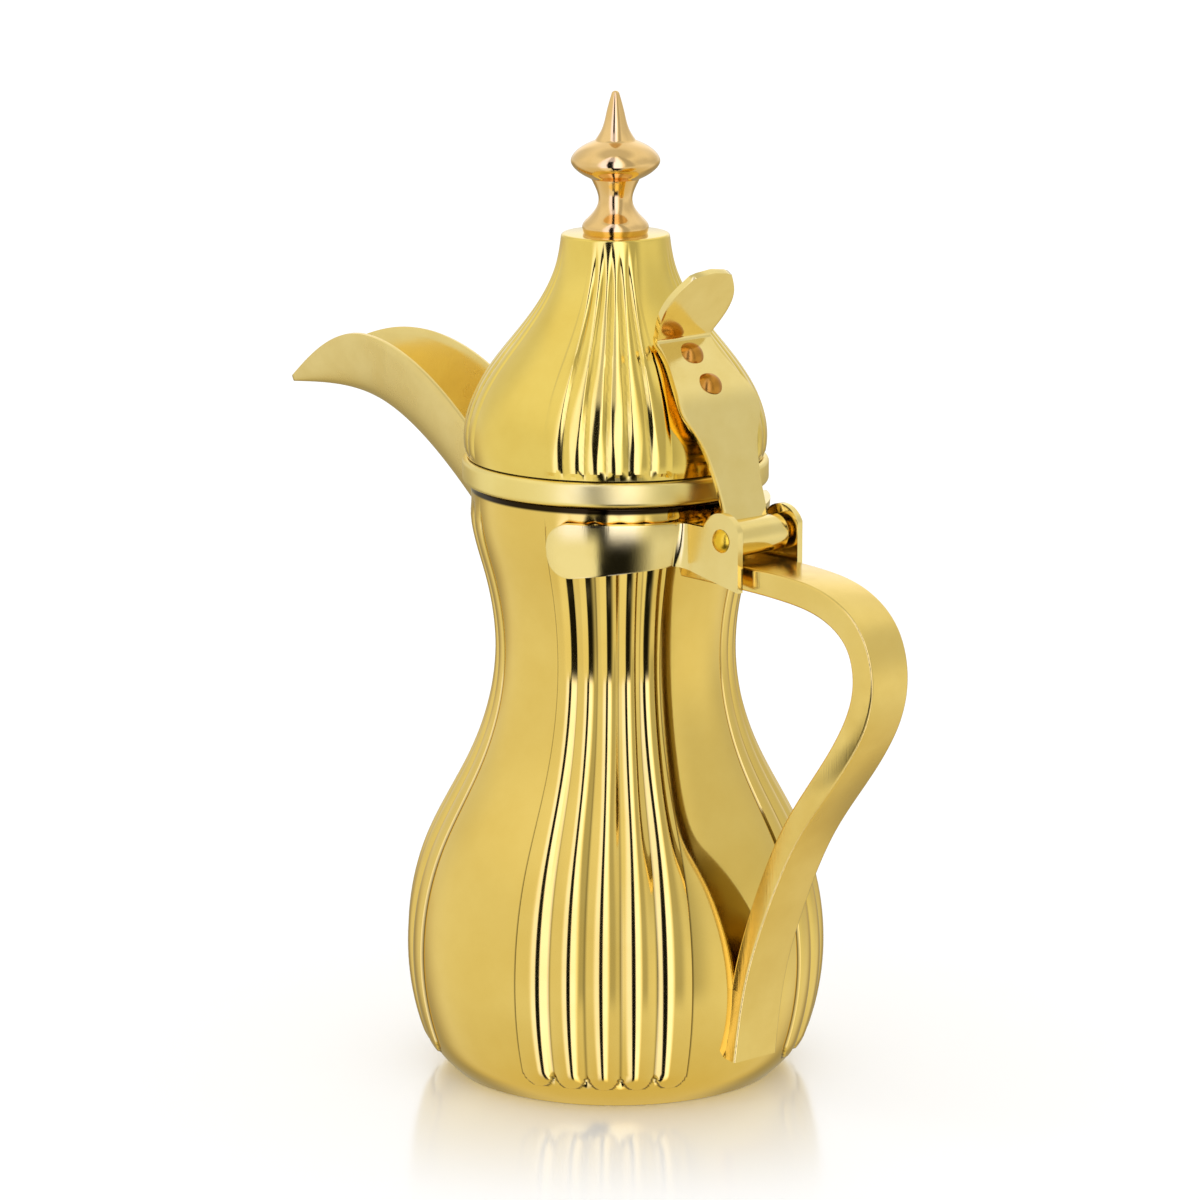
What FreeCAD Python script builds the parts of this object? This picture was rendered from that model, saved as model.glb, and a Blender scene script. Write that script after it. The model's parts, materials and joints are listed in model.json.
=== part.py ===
"""Dallah coffee pot: reeded body, hinged domed lid, beak spout and strap handle.

The origin is the middle of the base on the table, +Z is up, the handle points
to +X and the spout to -X. All sizes are millimetres.
"""
import FreeCAD, Part
import math
import os
import Sketcher
from FreeCAD import Vector

DOC = FreeCAD.newDocument("dallah")
SHEET = DOC.addObject("Spreadsheet::Sheet", "sizes")

# Driving dimensions: alias, value, what it is
SIZES = [
    ("wall", 1.2, "sheet thickness of body, lid dome and spout"),
    ("floor_radius", 50.0, "radius of the flat base on the table"),
    ("edge_height", 5.0, "height where the rounded base edge ends"),
    ("edge_radius", 55.0, "radius there"),
    ("hip_height", 15.0, "height low on the belly"),
    ("hip_radius", 59.5, "radius there"),
    ("belly_height", 40.0, "height of the widest part"),
    ("belly_radius", 62.8, "radius of the widest part"),
    ("shoulder_height", 70.0, "height where the belly turns in"),
    ("shoulder_radius", 57.0, "radius there"),
    ("slope_height", 98.0, "height on the hollow flank above the belly"),
    ("slope_radius", 43.2, "radius there"),
    ("waist_height", 128.0, "height of the narrowest part"),
    ("waist_radius", 36.0, "radius of the narrowest part"),
    ("neck_height", 154.0, "height on the flaring neck"),
    ("neck_radius", 39.0, "radius there"),
    ("flare_height", 168.0, "height where the neck straightens"),
    ("flare_radius", 42.6, "radius there"),
    ("rim_height", 181.5, "height of the mouth's edge"),
    ("rim_radius", 43.9, "outer radius of the mouth's edge"),
    ("reed_rise", 1.2, "how far a reed stands out of the smooth panels"),
    ("reed_pitch", 10.0, "degrees from one body reed to the next"),
    ("reeds_per_group", 5, "body reeds in each of the four groups"),
    ("reed_tip_height", 10.0, "lowest point of a reed's rounded tip"),
    ("base_recess_depth", 2.0, "seat for the base plate, and the plate's thickness"),
    ("base_ledge_radius", 43.0, "inner radius of the ledge that carries the base plate"),
    ("standing_ring_radius", 46.5, "inner radius of the ring round the base plate"),
    ("base_plate_gap", 0.2, "gap round the base plate"),
    ("lid_gap", 0.4, "gap between the mouth's edge and the lid"),
    ("band_radius", 46.4, "outer radius of the lid's band"),
    ("band_height", 7.6, "height of the lid's band"),
    ("band_wall", 2.4, "thickness of the lid's band"),
    ("skirt_depth", 4.0, "how far the lid's skirt reaches into the mouth"),
    ("skirt_gap", 1.7, "gap between the skirt and the mouth"),
    ("lip_height", 1.8, "smooth lip at the dome's lower edge"),
    ("lip_undercut", 0.5, "how far the dome's edge is drawn in below its widest part"),
    ("edge_round", 1.0, "rounding of the dome's flat top"),
    ("bulge_rise", 4.0, "height of the dome's widest part above its edge"),
    ("bulge_radius", 45.4, "radius of the dome's widest part"),
    ("crown_rise", 20.0, "height above the dome's edge where the dome turns in"),
    ("crown_radius", 42.0, "radius there"),
    ("sweep_rise", 38.0, "height above the dome's edge on the hollow flank"),
    ("sweep_radius", 29.2, "radius there"),
    ("stem_rise", 58.0, "height above the dome's edge where the flank is upright"),
    ("stem_radius", 17.8, "radius there"),
    ("top_rise", 67.8, "height of the flat top above the dome's edge"),
    ("top_radius", 15.4, "radius of the flat top"),
    ("lid_reed_rise", 1.0, "how far a lid reed stands out"),
    ("lid_reeds_per_group", 6, "lid reeds in each of the four groups"),
    ("lid_group_span", 50.0, "degrees across one group of lid reeds"),
    ("finial_height", 42.7, "finial from the flat top to its point"),
    ("finial_foot_radius", 10.0, "radius of the finial's bell foot"),
    ("finial_foot_height", 2.0, "height of the foot's upright edge"),
    ("finial_neck_rise", 9.8, "neck above the flat top"),
    ("finial_neck_radius", 5.1, "radius of the finial's neck"),
    ("finial_collar_radius", 7.2, "radius of the small collar under the ball"),
    ("finial_collar_drop", 5.6, "collar below the ball's middle"),
    ("finial_ball_radius", 13.4, "radius of the flattened ball"),
    ("finial_ball_drop", 21.0, "ball's middle below the point"),
    ("finial_ball_flank", 3.0, "height of the ball's flanks over and under its middle"),
    ("finial_spike_rise", 6.0, "spike's root above the ball's middle"),
    ("finial_spike_radius", 6.5, "radius where the spike leaves the ball"),
    ("finial_point_radius", 0.8, "rounding of the point"),
    ("stud_diameter", 5.0, "threaded stud that holds the finial"),
    ("stud_depth", 9.0, "how far the stud goes into the finial"),
    ("stud_fit", 0.05, "gap round the stud and the rivets in their holes"),
    ("stud_play", 0.5, "gap over the stud's end in its blind hole"),
    ("washer_diameter", 14.0, "washer under the dome's flat top"),
    ("washer_thickness", 1.0, "its thickness"),
    ("nut_width", 8.0, "nut across its flats"),
    ("nut_height", 4.0, "nut height"),
    ("stud_end", 2.0, "stud past the nut"),
    ("pin_x", 61.3, "hinge pin from the pot's axis"),
    ("pin_height", 174.0, "hinge pin above the table"),
    ("pin_diameter", 5.0, "hinge pin"),
    ("pin_fit", 0.05, "running gap round the hinge pin"),
    ("pin_head_diameter", 7.0, "rounded head of the hinge pin"),
    ("pin_head_height", 1.4, "how far the head stands out"),
    ("ear_gap", 22.0, "clear width between the two ears"),
    ("ear_thickness", 2.0, "sheet thickness of the hinge bracket"),
    ("ear_radius", 8.2, "round of the ear over the pin"),
    ("ear_front_x", 68.6, "outer edge of the ears"),
    ("ear_foot_height", 159.4, "lowest corner of the ears"),
    ("leaf_top", 177.0, "top edge of the bracket's leaf on the neck"),
    ("leaf_root_height", 13.0, "height of the leaf beside the ear"),
    ("leaf_end_height", 17.5, "height of the leaf's rounded end"),
    ("leaf_span", 68.0, "degrees from the handle's middle to the leaf's end"),
    ("leaf_seat", 0.1, "gap between the leaf and the reeds' crests"),
    ("knuckle_diameter", 11.0, "rolled knuckle of the lid's strap"),
    ("knuckle_side_gap", 1.6, "gap between the knuckle and each ear"),
    ("strap_thickness", 2.0, "sheet thickness of the strap"),
    ("strap_bend_x", 47.4, "where the strap bends onto the dome"),
    ("strap_bend_height", 212.0, "height of that bend"),
    ("strap_fold_x", 30.4, "where the thumb tab folds away from the dome"),
    ("strap_fold_height", 229.0, "height of that fold"),
    ("tab_end_x", 44.0, "outer end of the thumb tab"),
    ("tab_end_height", 250.0, "height of the tab's end"),
    ("tab_width", 26.0, "width of the oval thumb tab"),
    ("strap_width", 30.0, "widest part of the strap"),
    ("strap_waist_width", 21.0, "strap width beside the fold"),
    ("rivet_head_diameter", 7.6, "rivet heads on the strap"),
    ("rivet_head_height", 1.7, "height of the rivet heads"),
    ("rivet_diameter", 3.6, "rivet shanks"),
    ("rivet_grip", 4.0, "rivet length past the strap, through gap and dome"),
    ("rivet_spacing", 11.5, "distance between the two rivets"),
    ("rivet_upper_offset", 5.6, "upper rivet from the fold, along the strap"),
    ("rivet_tail_diameter", 5.6, "formed tails inside the dome"),
    ("rivet_tail_height", 1.0, "height of the formed tails"),
    ("handle_top_width", 18.4, "handle width at the bracket"),
    ("handle_width", 14.8, "handle width at the bend"),
    ("handle_foot_width", 17.2, "handle width at the foot"),
    ("handle_top_thickness", 7.0, "handle thickness at the bracket"),
    ("handle_bend_thickness", 8.6, "handle thickness at the bend"),
    ("handle_foot_thickness", 5.2, "handle thickness at the foot"),
    ("handle_top_height", 163.0, "height of the handle's middle at the bracket"),
    ("handle_reach", 115.2, "middle of the handle's bend from the pot's axis"),
    ("handle_bend_height", 138.0, "height of that bend"),
    ("handle_foot_height", 14.5, "lowest point of the handle"),
    ("handle_belly_stand", 2.2, "handle's middle outside the belly's widest part"),
    ("handle_foot_stand", 1.5, "handle's middle outside the body at the foot"),
    ("spout_root_height", 145.0, "where the spout's keel meets the neck"),
    ("spout_root_depth", 35.0, "height of the spout's edges over its keel at the neck"),
    ("spout_rise_x", 72.0, "distance of the rising stretch from the pot's axis"),
    ("spout_rise_height", 173.5, "height of the keel there"),
    ("spout_rise_depth", 31.5, "height of the spout's edges over the keel there"),
    ("spout_lip_height", 214.0, "highest point of the spout's edges"),
    ("spout_lip_depth", 21.5, "height of the spout's edges over the keel there"),
    ("spout_lip_x", 112.0, "distance of that point from the pot's axis"),
    ("spout_tip_x", 156.8, "spout's tip from the pot's axis"),
    ("spout_tip_height", 191.9, "height of the spout's tip"),
    ("spout_tip_depth", 2.0, "height of the spout's edges over the keel at the tip"),
    ("spout_width", 26.0, "width of the spout at the neck"),
    ("spout_lip_width", 20.5, "width between the spout's edges at their highest point"),
    ("spout_tip_width", 2.2, "width of the blunt tip"),
    ("spout_lid_gap", 1.2, "gap between the spout's edges and the lid"),
    ("pour_hole_width", 17.0, "opening in the neck behind the spout"),
    ("pour_hole_low", 150.5, "lowest point of that opening"),
    ("pour_hole_high", 175.5, "highest point of that opening"),
]
for row, (alias, value, note) in enumerate(SIZES, start=1):
    SHEET.set(f"A{row}", note)
    SHEET.set(f"B{row}", str(value))
    SHEET.setAlias(f"B{row}", alias)
DOC.recompute()


def size(alias):
    """One driving dimension, as the sheet holds it."""
    return float(SHEET.get(alias))


NODES = {}
PANEL_ANGLES = (45.0, 135.0, 225.0, 315.0)
FULL_TURN = 360.0
# How far a cutting solid reaches past what it cuts, and a reed's foot into the wall.
OVERRUN = 5.0
SEAT_DEPTH = 0.35
# Valley between two reeds, as a share of their rise.
VALLEY_SHARE = 0.1
# A reed's round tip against the reed's own width, so that neighbouring tips meet.
TIP_FULLNESS = 1.03
# Rounded bottom of the spout, as shares of its half width and of its depth.
BOTTOM_WIDTH = 0.62
BOTTOM_RISE = 0.6
# The handle's upper run, as shares of the way out to the bend and of the way down to it.
HANDLE_RUN = ((0.0, 0.0), (0.303, 0.0), (0.606, 0.028), (0.823, 0.16), (0.9545, 0.46), (1.0, 1.0))
# The handle's lower run, as shares of the way back in to the belly and of the way down to it.
HANDLE_DROP = ((0.13, 0.18), (0.56, 0.48), (0.83, 0.75), (1.0, 1.0))
# Share of the handle's length over which it narrows to the bend.
HANDLE_TURN = 0.45


def keep(label, item):
    """Name a finished sub-part."""
    item.Label = label
    NODES[label] = item
    return item


def shaped(name, shape):
    """A sub-part whose form is set from curves worked out from the sheet."""
    item = DOC.addObject("Part::Feature", name)
    item.Shape = shape
    return item


def bind(item, **expressions):
    """Tie properties of a feature to the sheet."""
    for prop, text in expressions.items():
        item.setExpression(prop.replace("__", "."), text)
    return item


def turned(name, outline):
    """A body turned about the pot's axis from an outline of (radius, height) expressions."""
    body = DOC.addObject("PartDesign::Body", name)
    plane = next(item for item in body.Origin.OriginFeatures if item.Role == "XZ_Plane")
    sketch = body.newObject("Sketcher::SketchObject", name + "_outline")
    sketch.AttachmentSupport = [(plane, "")]
    sketch.MapMode = "FlatFace"
    count = len(outline)
    corners = []
    for radius_text, height_text in outline:
        probe = [SHEET.evalExpression(text) for text in (radius_text, height_text)]
        corners.append(Vector(float(probe[0]), float(probe[1]), 0))
    for index in range(count):
        sketch.addGeometry(Part.LineSegment(corners[index], corners[(index + 1) % count]), False)
    for index in range(count):
        sketch.addConstraint(Sketcher.Constraint("Coincident", index, 2, (index + 1) % count, 1))
    for index, (radius_text, height_text) in enumerate(outline):
        for kind, text, place in (("DistanceX", radius_text, corners[index].x),
                                  ("DistanceY", height_text, corners[index].y)):
            number = sketch.addConstraint(Sketcher.Constraint(kind, -1, 1, index, 1, place))
            sketch.setExpression(f"Constraints[{number}]", text)
    turn = body.newObject("PartDesign::Revolution", name + "_turn")
    turn.Profile = sketch
    turn.ReferenceAxis = (sketch, ["V_Axis"])
    turn.Angle = FULL_TURN
    body.Tip = turn
    return body


def spline(points):
    """A smooth curve through (radius, height) points in the XZ plane."""
    curve = Part.BSplineCurve()
    curve.interpolate([Vector(r, 0, z) for r, z in points])
    return curve


def line(start, end):
    """A straight edge between two (radius, height) points in the XZ plane."""
    return Part.makeLine(Vector(start[0], 0, start[1]), Vector(end[0], 0, end[1]))


def revolve(edges):
    """Solid of revolution of a closed outline in the XZ plane."""
    face = Part.Face(Part.Wire(edges))
    solid = face.revolve(Vector(0, 0, 0), Vector(0, 0, 1), FULL_TURN)
    return Part.Solid(solid) if solid.ShapeType == "Shell" else solid


def around(radius, degrees, height):
    """Point at a radius, an angle from the handle and a height."""
    angle = math.radians(degrees)
    return Vector(radius * math.cos(angle), radius * math.sin(angle), height)


def bow(start, middle, end):
    """A parabolic edge through three points."""
    curve = Part.BezierCurve()
    curve.setPoles([start, middle * 2 - (start + end) / 2, end])
    return curve.toShape()


def reed_section(panel_radius, height, rise, count, pitch):
    """Closed outline at one height: groups of half-round reeds between sunken panel arcs."""
    sunk = panel_radius - SEAT_DEPTH
    valley = panel_radius + VALLEY_SHARE * rise
    crest = panel_radius + rise
    edges = []
    for middle in PANEL_ANGLES:
        start = middle - count * pitch / 2
        for index in range(count):
            left, right = start + index * pitch, start + (index + 1) * pitch
            first = sunk if index == 0 else valley
            last = sunk if index == count - 1 else valley
            edges.append(bow(around(first, left, height), around(crest, (left + right) / 2, height),
                             around(last, right, height)))
        panel_end = middle + 90.0 - count * pitch / 2
        panel_start = start + count * pitch
        panel_middle = (panel_start + panel_end) / 2
        edges.append(bow(around(sunk, panel_start, height), around(sunk, panel_middle, height),
                         around(sunk, panel_end, height)))
    return Part.Wire(edges)


def reeded(curve, stations, rises, count, pitch):
    """Loft of reed sections that follow a meridian curve."""
    first, last = curve.FirstParameter, curve.LastParameter
    wires = []
    for index in range(stations):
        point = curve.value(first + (last - first) * index / (stations - 1))
        wires.append(reed_section(point.x, point.z, rises(index / (stations - 1)), count, pitch))
    return Part.makeLoft(wires, True, False)


def body_points(inset):
    """The body's meridian from the base edge to the mouth, moved in by an inset."""
    names = ("edge", "hip", "belly", "shoulder", "slope", "waist", "neck", "flare", "rim")
    return [(size(name + "_radius") - inset, size(name + "_height")) for name in names]


def body_meridian():
    """Smooth outer line of the body from the table to the mouth, without the reeds."""
    return spline([(size("floor_radius"), 0.0)] + body_points(0))


def body_core():
    """Smooth solid inside the reeds: panels, base band and rounded base edge."""
    top = size("rim_height")
    return revolve([line((0, 0), (size("floor_radius"), 0)), body_meridian().toShape(),
                    line((size("rim_radius"), top), (0, top)), line((0, top), (0, 0))])


def tip_envelope(count, pitch):
    """Space that leaves each reed a rounded tip above the smooth base band."""
    crest = size("hip_radius") + size("reed_rise")
    radius = crest * math.radians(pitch / 2) * TIP_FULLNESS
    centre = size("reed_tip_height") + radius
    reach = size("belly_radius") + OVERRUN
    inner = size("floor_radius") / 2
    space = Part.makeCylinder(reach, size("rim_height") - centre, Vector(0, 0, centre))
    tips = []
    for middle in PANEL_ANGLES:
        for index in range(count):
            angle = middle + (index - (count - 1) / 2) * pitch
            outward = around(1.0, angle, 0)
            start = outward * inner + Vector(0, 0, centre)
            tips.append(Part.makeCylinder(radius, reach - inner, start, outward))
    return space.multiFuse(tips)


def body_shell(core):
    """Drawn sheet body with raised reeds, open mouth, base ledge and pour hole."""
    count, pitch = int(size("reeds_per_group")), size("reed_pitch")
    stretch = part_of(body_meridian(), size("edge_height"), size("rim_height"))
    reeds = reeded(stretch, 15, lambda share: size("reed_rise"), count, pitch)
    outside = core.fuse(reeds.common(tip_envelope(count, pitch)))
    wall, top = size("wall"), size("rim_height")
    inner = body_points(wall)
    ledge_top = size("base_recess_depth") + wall
    lowest = (inner[0][0] - wall, ledge_top)
    cavity_line = spline([lowest] + inner[1:])
    above = (inner[-1][0], top + OVERRUN)
    cavity = revolve([line((0, ledge_top), lowest), cavity_line.toShape(), line(inner[-1], above),
                      line(above, (0, above[1])), line((0, above[1]), (0, ledge_top))])
    recess = Part.makeCylinder(size("standing_ring_radius"), size("base_recess_depth"))
    base_hole = Part.makeCylinder(size("base_ledge_radius"), ledge_top)
    return outside.cut([cavity, recess, base_hole, pour_hole()])


def pour_hole():
    """Upright rounded slot through the neck behind the spout."""
    radius = size("pour_hole_width") / 2
    low, high = size("pour_hole_low") + radius, size("pour_hole_high") - radius
    depth = size("rim_radius") + OVERRUN
    outward = Vector(-1, 0, 0)
    slot = Part.makeBox(depth, 2 * radius, high - low, Vector(-depth, -radius, low))
    ends = [Part.makeCylinder(radius, depth, Vector(0, 0, height), outward) for height in (low, high)]
    return slot.multiFuse(ends)


def through(points, at):
    """Height at a distance, on the lowest polynomial through the given points."""
    total = 0.0
    for index, (here, height) in enumerate(points):
        share = 1.0
        for other, (there, _) in enumerate(points):
            if other != index:
                share *= (at - there) / (here - there)
        total += share * height
    return total


def trough_section(distance, keel, lip, half, wall):
    """Closed outline of a thin open trough across the spout, at one distance from the axis."""
    def side(width, bottom):
        low = width * BOTTOM_WIDTH
        rise = min(low, (lip - bottom) * BOTTOM_RISE)
        return [Vector(-distance, -width, lip), Vector(-distance, -low, bottom + rise),
                Vector(-distance, 0, bottom), Vector(-distance, low, bottom + rise),
                Vector(-distance, width, lip)]
    outer, inner = side(half, keel), side(half - wall, keel + wall)
    edges = []
    for loop in (outer, inner):
        edges.append([Part.makeLine(loop[0], loop[1]), bow(*loop[1:4]),
                      Part.makeLine(loop[3], loop[4])])
    ends = [Part.makeLine(outer[4], inner[4]), Part.makeLine(inner[0], outer[0])]
    return Part.Wire(Part.__sortEdges__(edges[0] + edges[1] + ends))


def spout(core):
    """Open beak trough that ends on the neck and clears the lid."""
    neck, rise_x = size("neck_radius"), size("spout_rise_x")
    lip_x, tip_x = size("spout_lip_x"), size("spout_tip_x")
    keel = [(neck, size("spout_root_height")), (rise_x, size("spout_rise_height")),
            (lip_x, size("spout_lip_height") - size("spout_lip_depth")), (tip_x, size("spout_tip_height"))]
    depths = [size("spout_" + name + "_depth") for name in ("root", "rise", "lip", "tip")]
    lip = [(x, height + depth) for (x, height), depth in zip(keel, depths)]
    widths = [(neck, size("spout_width")), (lip_x, size("spout_lip_width")), (tip_x, size("spout_tip_width"))]
    start, stations = size("waist_radius") - 2 * OVERRUN, 12
    wires = []
    for index in range(stations):
        at = start + (tip_x - start) * index / (stations - 1)
        half = through(widths, at) / 2
        wall = min(size("wall"), half * 0.5)
        wires.append(trough_section(at, through(keel, at), through(lip, at), half, wall))
    trough = Part.makeLoft(wires, True, False)
    lid_space = Part.makeCylinder(size("band_radius") + size("spout_lid_gap"), size("top_rise"),
                                  Vector(0, 0, size("rim_height")))
    return trough.cut([core, lid_space])


def dome_base():
    """Height of the dome's lower edge, on top of the lid's band."""
    return size("rim_height") + size("lid_gap") + size("band_height")


def dome_points(inset):
    """The dome's meridian from its lower edge to its flat top, moved in by an inset."""
    names = ("bulge", "crown", "sweep", "stem")
    points = [(size(name + "_radius") - inset, dome_base() + size(name + "_rise")) for name in names]
    bevel = size("edge_round")
    shoulder = (size("top_radius") + bevel - inset, dome_base() + size("top_rise") - bevel)
    return [(size("bulge_radius") - size("lip_undercut") - inset, dome_base())] + points + [shoulder]


def dome_solid(inset, top):
    """Turned solid under a meridian, with a bevelled edge round its flat top."""
    points = dome_points(inset)
    shoulder = (points[-1][0], min(points[-1][1], top - size("edge_round") / 2))
    flat = (shoulder[0] - size("edge_round"), top)
    low = dome_base()
    return revolve([line((0, low), points[0]), spline(points[:-1] + [shoulder]).toShape(),
                    line(shoulder, flat), line(flat, (0, top)), line((0, top), (0, low))])


def part_of(curve, low, high):
    """The stretch of a rising curve between two heights."""
    def parameter(height):
        first, last = curve.FirstParameter, curve.LastParameter
        for _ in range(60):
            middle = (first + last) / 2
            if curve.value(middle).z < height:
                first = middle
            else:
                last = middle
        return first
    piece = curve.copy()
    piece.segment(parameter(low), parameter(high))
    return piece


def rivet_frames():
    """Middle of each rivet on the strap's outer face, and the way the heads point."""
    bend = Vector(size("strap_bend_x"), 0, size("strap_bend_height"))
    fold = Vector(size("strap_fold_x"), 0, size("strap_fold_height"))
    along = (bend - fold).normalize()
    outward = Vector(-along.z, 0, along.x)
    first = size("rivet_upper_offset")
    return [(fold + along * distance, outward) for distance in (first, first + size("rivet_spacing"))]


def rivet_holes():
    """Clearance for the rivet shanks, through strap and dome."""
    radius = size("rivet_diameter") / 2 + size("stud_fit")
    depth = 4 * OVERRUN
    return [Part.makeCylinder(radius, depth, place - outward * (depth - OVERRUN), outward)
            for place, outward in rivet_frames()]


def lid_dome():
    """Pressed dome with reeds that fade towards its flat top."""
    wall, top = size("wall"), dome_base() + size("top_rise")
    core = dome_solid(0, top)
    low, high = dome_base() + size("lip_height"), dome_base() + size("stem_rise")
    count = int(size("lid_reeds_per_group"))
    rise = size("lid_reed_rise")
    reeds = reeded(part_of(spline(dome_points(0)), low, high), 9,
                   lambda share: rise * (1 - share ** 3) - SEAT_DEPTH * share ** 3,
                   count, size("lid_group_span") / count)
    hollow = dome_solid(wall, top - wall)
    stud_hole = Part.makeCylinder(size("stud_diameter") / 2 + size("stud_fit"), OVERRUN,
                                  Vector(0, 0, top - OVERRUN))
    return core.fuse(reeds).cut([hollow, stud_hole] + rivet_holes())


def finial():
    """Turned finial: bell foot, neck, collar, flattened ball and spike, with a blind hole for its stud."""
    foot = dome_base() + size("top_rise")
    top = foot + size("finial_height")
    bell, neck, collar = size("finial_foot_radius"), size("finial_neck_radius"), size("finial_collar_radius")
    ball, spike = size("finial_ball_radius"), size("finial_spike_radius")
    ball_height = top - size("finial_ball_drop")
    collar_height = ball_height - size("finial_collar_drop")
    spike_height = ball_height + size("finial_spike_rise")
    edge_height, neck_height = foot + size("finial_foot_height"), foot + size("finial_neck_rise")
    flank, tip = size("finial_ball_flank"), size("finial_point_radius")
    under_collar = (0.9 * collar, collar_height - 0.25 * size("finial_collar_drop"))
    stem = spline([(bell, edge_height), (0.78 * bell, (edge_height + neck_height) / 2 - 0.09 * bell),
                   (neck, neck_height), under_collar])
    bulb = spline([(collar, collar_height), (0.86 * ball, ball_height - flank), (ball, ball_height),
                   (0.86 * ball, ball_height + flank), (spike, spike_height)])
    left = top - spike_height
    point = spline([(spike, spike_height), (0.65 * spike, spike_height + 0.22 * left),
                    (0.4 * spike, spike_height + 0.6 * left), (tip, top - tip)])
    knee = tip * math.sqrt(0.5)
    cap = Part.Arc(Vector(tip, 0, top - tip), Vector(knee, 0, top - tip + knee), Vector(0, 0, top)).toShape()
    rim = (0.96 * bell, foot)
    solid = revolve([line((0, foot), rim), line(rim, (bell, edge_height)),
                     stem.toShape(), line(under_collar, (collar, collar_height)),
                     bulb.toShape(), point.toShape(), cap, line((0, top), (0, foot))])
    hole = Part.makeCylinder(size("stud_diameter") / 2 + size("stud_fit"), size("stud_depth"),
                             Vector(0, 0, foot))
    return solid.cut(hole)


def headed(radius, length, head_radius, head_height, tail_radius, tail_height):
    """A rivet along +Z: shank below zero, rounded head above it and a rounded tail at the far end."""
    shank = Part.makeCylinder(radius, length, Vector(0, 0, -length))

    def cap(cap_radius, cap_height):
        ball = (cap_radius ** 2 + cap_height ** 2) / (2 * cap_height)
        half_angle = math.asin(cap_radius / ball) / 2
        middle = Vector(ball * math.sin(half_angle), 0, cap_height - ball * (1 - math.cos(half_angle)))
        dome = Part.Arc(Vector(cap_radius, 0, 0), middle, Vector(0, 0, cap_height)).toShape()
        return revolve([line((0, 0), (cap_radius, 0)), dome, line((0, cap_height), (0, 0))])
    tail = cap(tail_radius, tail_height)
    tail.rotate(Vector(0, 0, 0), Vector(1, 0, 0), 180)
    tail.translate(Vector(0, 0, -length))
    return shank.multiFuse([cap(head_radius, head_height), tail])


def strap_rivets():
    """Two rivets through the strap and the dome, as separate solids."""
    grip = size("strap_thickness") + size("rivet_grip")
    solids = []
    for place, outward in rivet_frames():
        rivet = headed(size("rivet_diameter") / 2, grip, size("rivet_head_diameter") / 2,
                       size("rivet_head_height"), size("rivet_tail_diameter") / 2, size("rivet_tail_height"))
        rivet.Placement = FreeCAD.Placement(place, FreeCAD.Rotation(Vector(0, 0, 1), outward))
        solids.append(rivet)
    return Part.makeCompound(solids)


def hinge_pin():
    """Pin through both ears, with a rounded head on each."""
    length = size("ear_gap") + 2 * size("ear_thickness")
    head, dome = size("pin_head_diameter") / 2, size("pin_head_height")
    pin = headed(size("pin_diameter") / 2, length, head, dome, head, dome)
    pin.Placement = FreeCAD.Placement(Vector(size("pin_x"), length / 2, size("pin_height")),
                                      FreeCAD.Rotation(Vector(0, 0, 1), Vector(0, 1, 0)))
    return pin


def pin_bore(gap, length):
    """Bore on the hinge axis."""
    return Part.makeCylinder(size("pin_diameter") / 2 + gap, length,
                             Vector(size("pin_x"), -length / 2, size("pin_height")), Vector(0, 1, 0))


def slab(outline, low, high):
    """A closed XZ outline made solid between two Y values."""
    face = Part.Face(Part.Wire(Part.__sortEdges__(outline)))
    face.translate(Vector(0, low, 0))
    return face.extrude(Vector(0, high - low, 0))


def sheet_outline(points, thickness):
    """Closed outline of a folded sheet whose outer face follows the points, in the XZ plane."""
    normals = []
    for start, end in zip(points, points[1:]):
        along = (end - start).normalize()
        normals.append(Vector(-along.z, 0, along.x))
    inner = [points[0] + normals[0] * thickness]
    for before, after, point in zip(normals, normals[1:], points[1:]):
        inner.append(point + (before + after) * (thickness / (1 + before.dot(after))))
    inner.append(points[-1] + normals[-1] * thickness)
    return Part.makePolygon(points + inner[::-1] + points[:1]).Edges


def hinge_strap():
    """Sheet strap: knuckle rolled round the pin, leaf on the dome and a thumb tab folded out."""
    pin = Vector(size("pin_x"), 0, size("pin_height"))
    knuckle = size("knuckle_diameter") / 2
    root = pin + Vector(-knuckle * 0.3, 0, knuckle * 0.6)
    line_points = [root] + [Vector(size(name + "_x"), 0, size(name + "_height"))
                            for name in ("strap_bend", "strap_fold", "tab_end")]
    full = size("strap_width") + OVERRUN
    sheet = slab(sheet_outline(line_points, size("strap_thickness")), -full / 2, full / 2)
    half = size("ear_gap") / 2 - size("knuckle_side_gap")
    barrel = Part.makeCylinder(knuckle, 2 * half, pin - Vector(0, half, 0), Vector(0, 1, 0))
    bore = pin_bore(size("pin_fit"), 2 * full)
    return sheet.common(strap_outline()).fuse(barrel).cut([bore] + rivet_holes()).removeSplitter()


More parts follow.
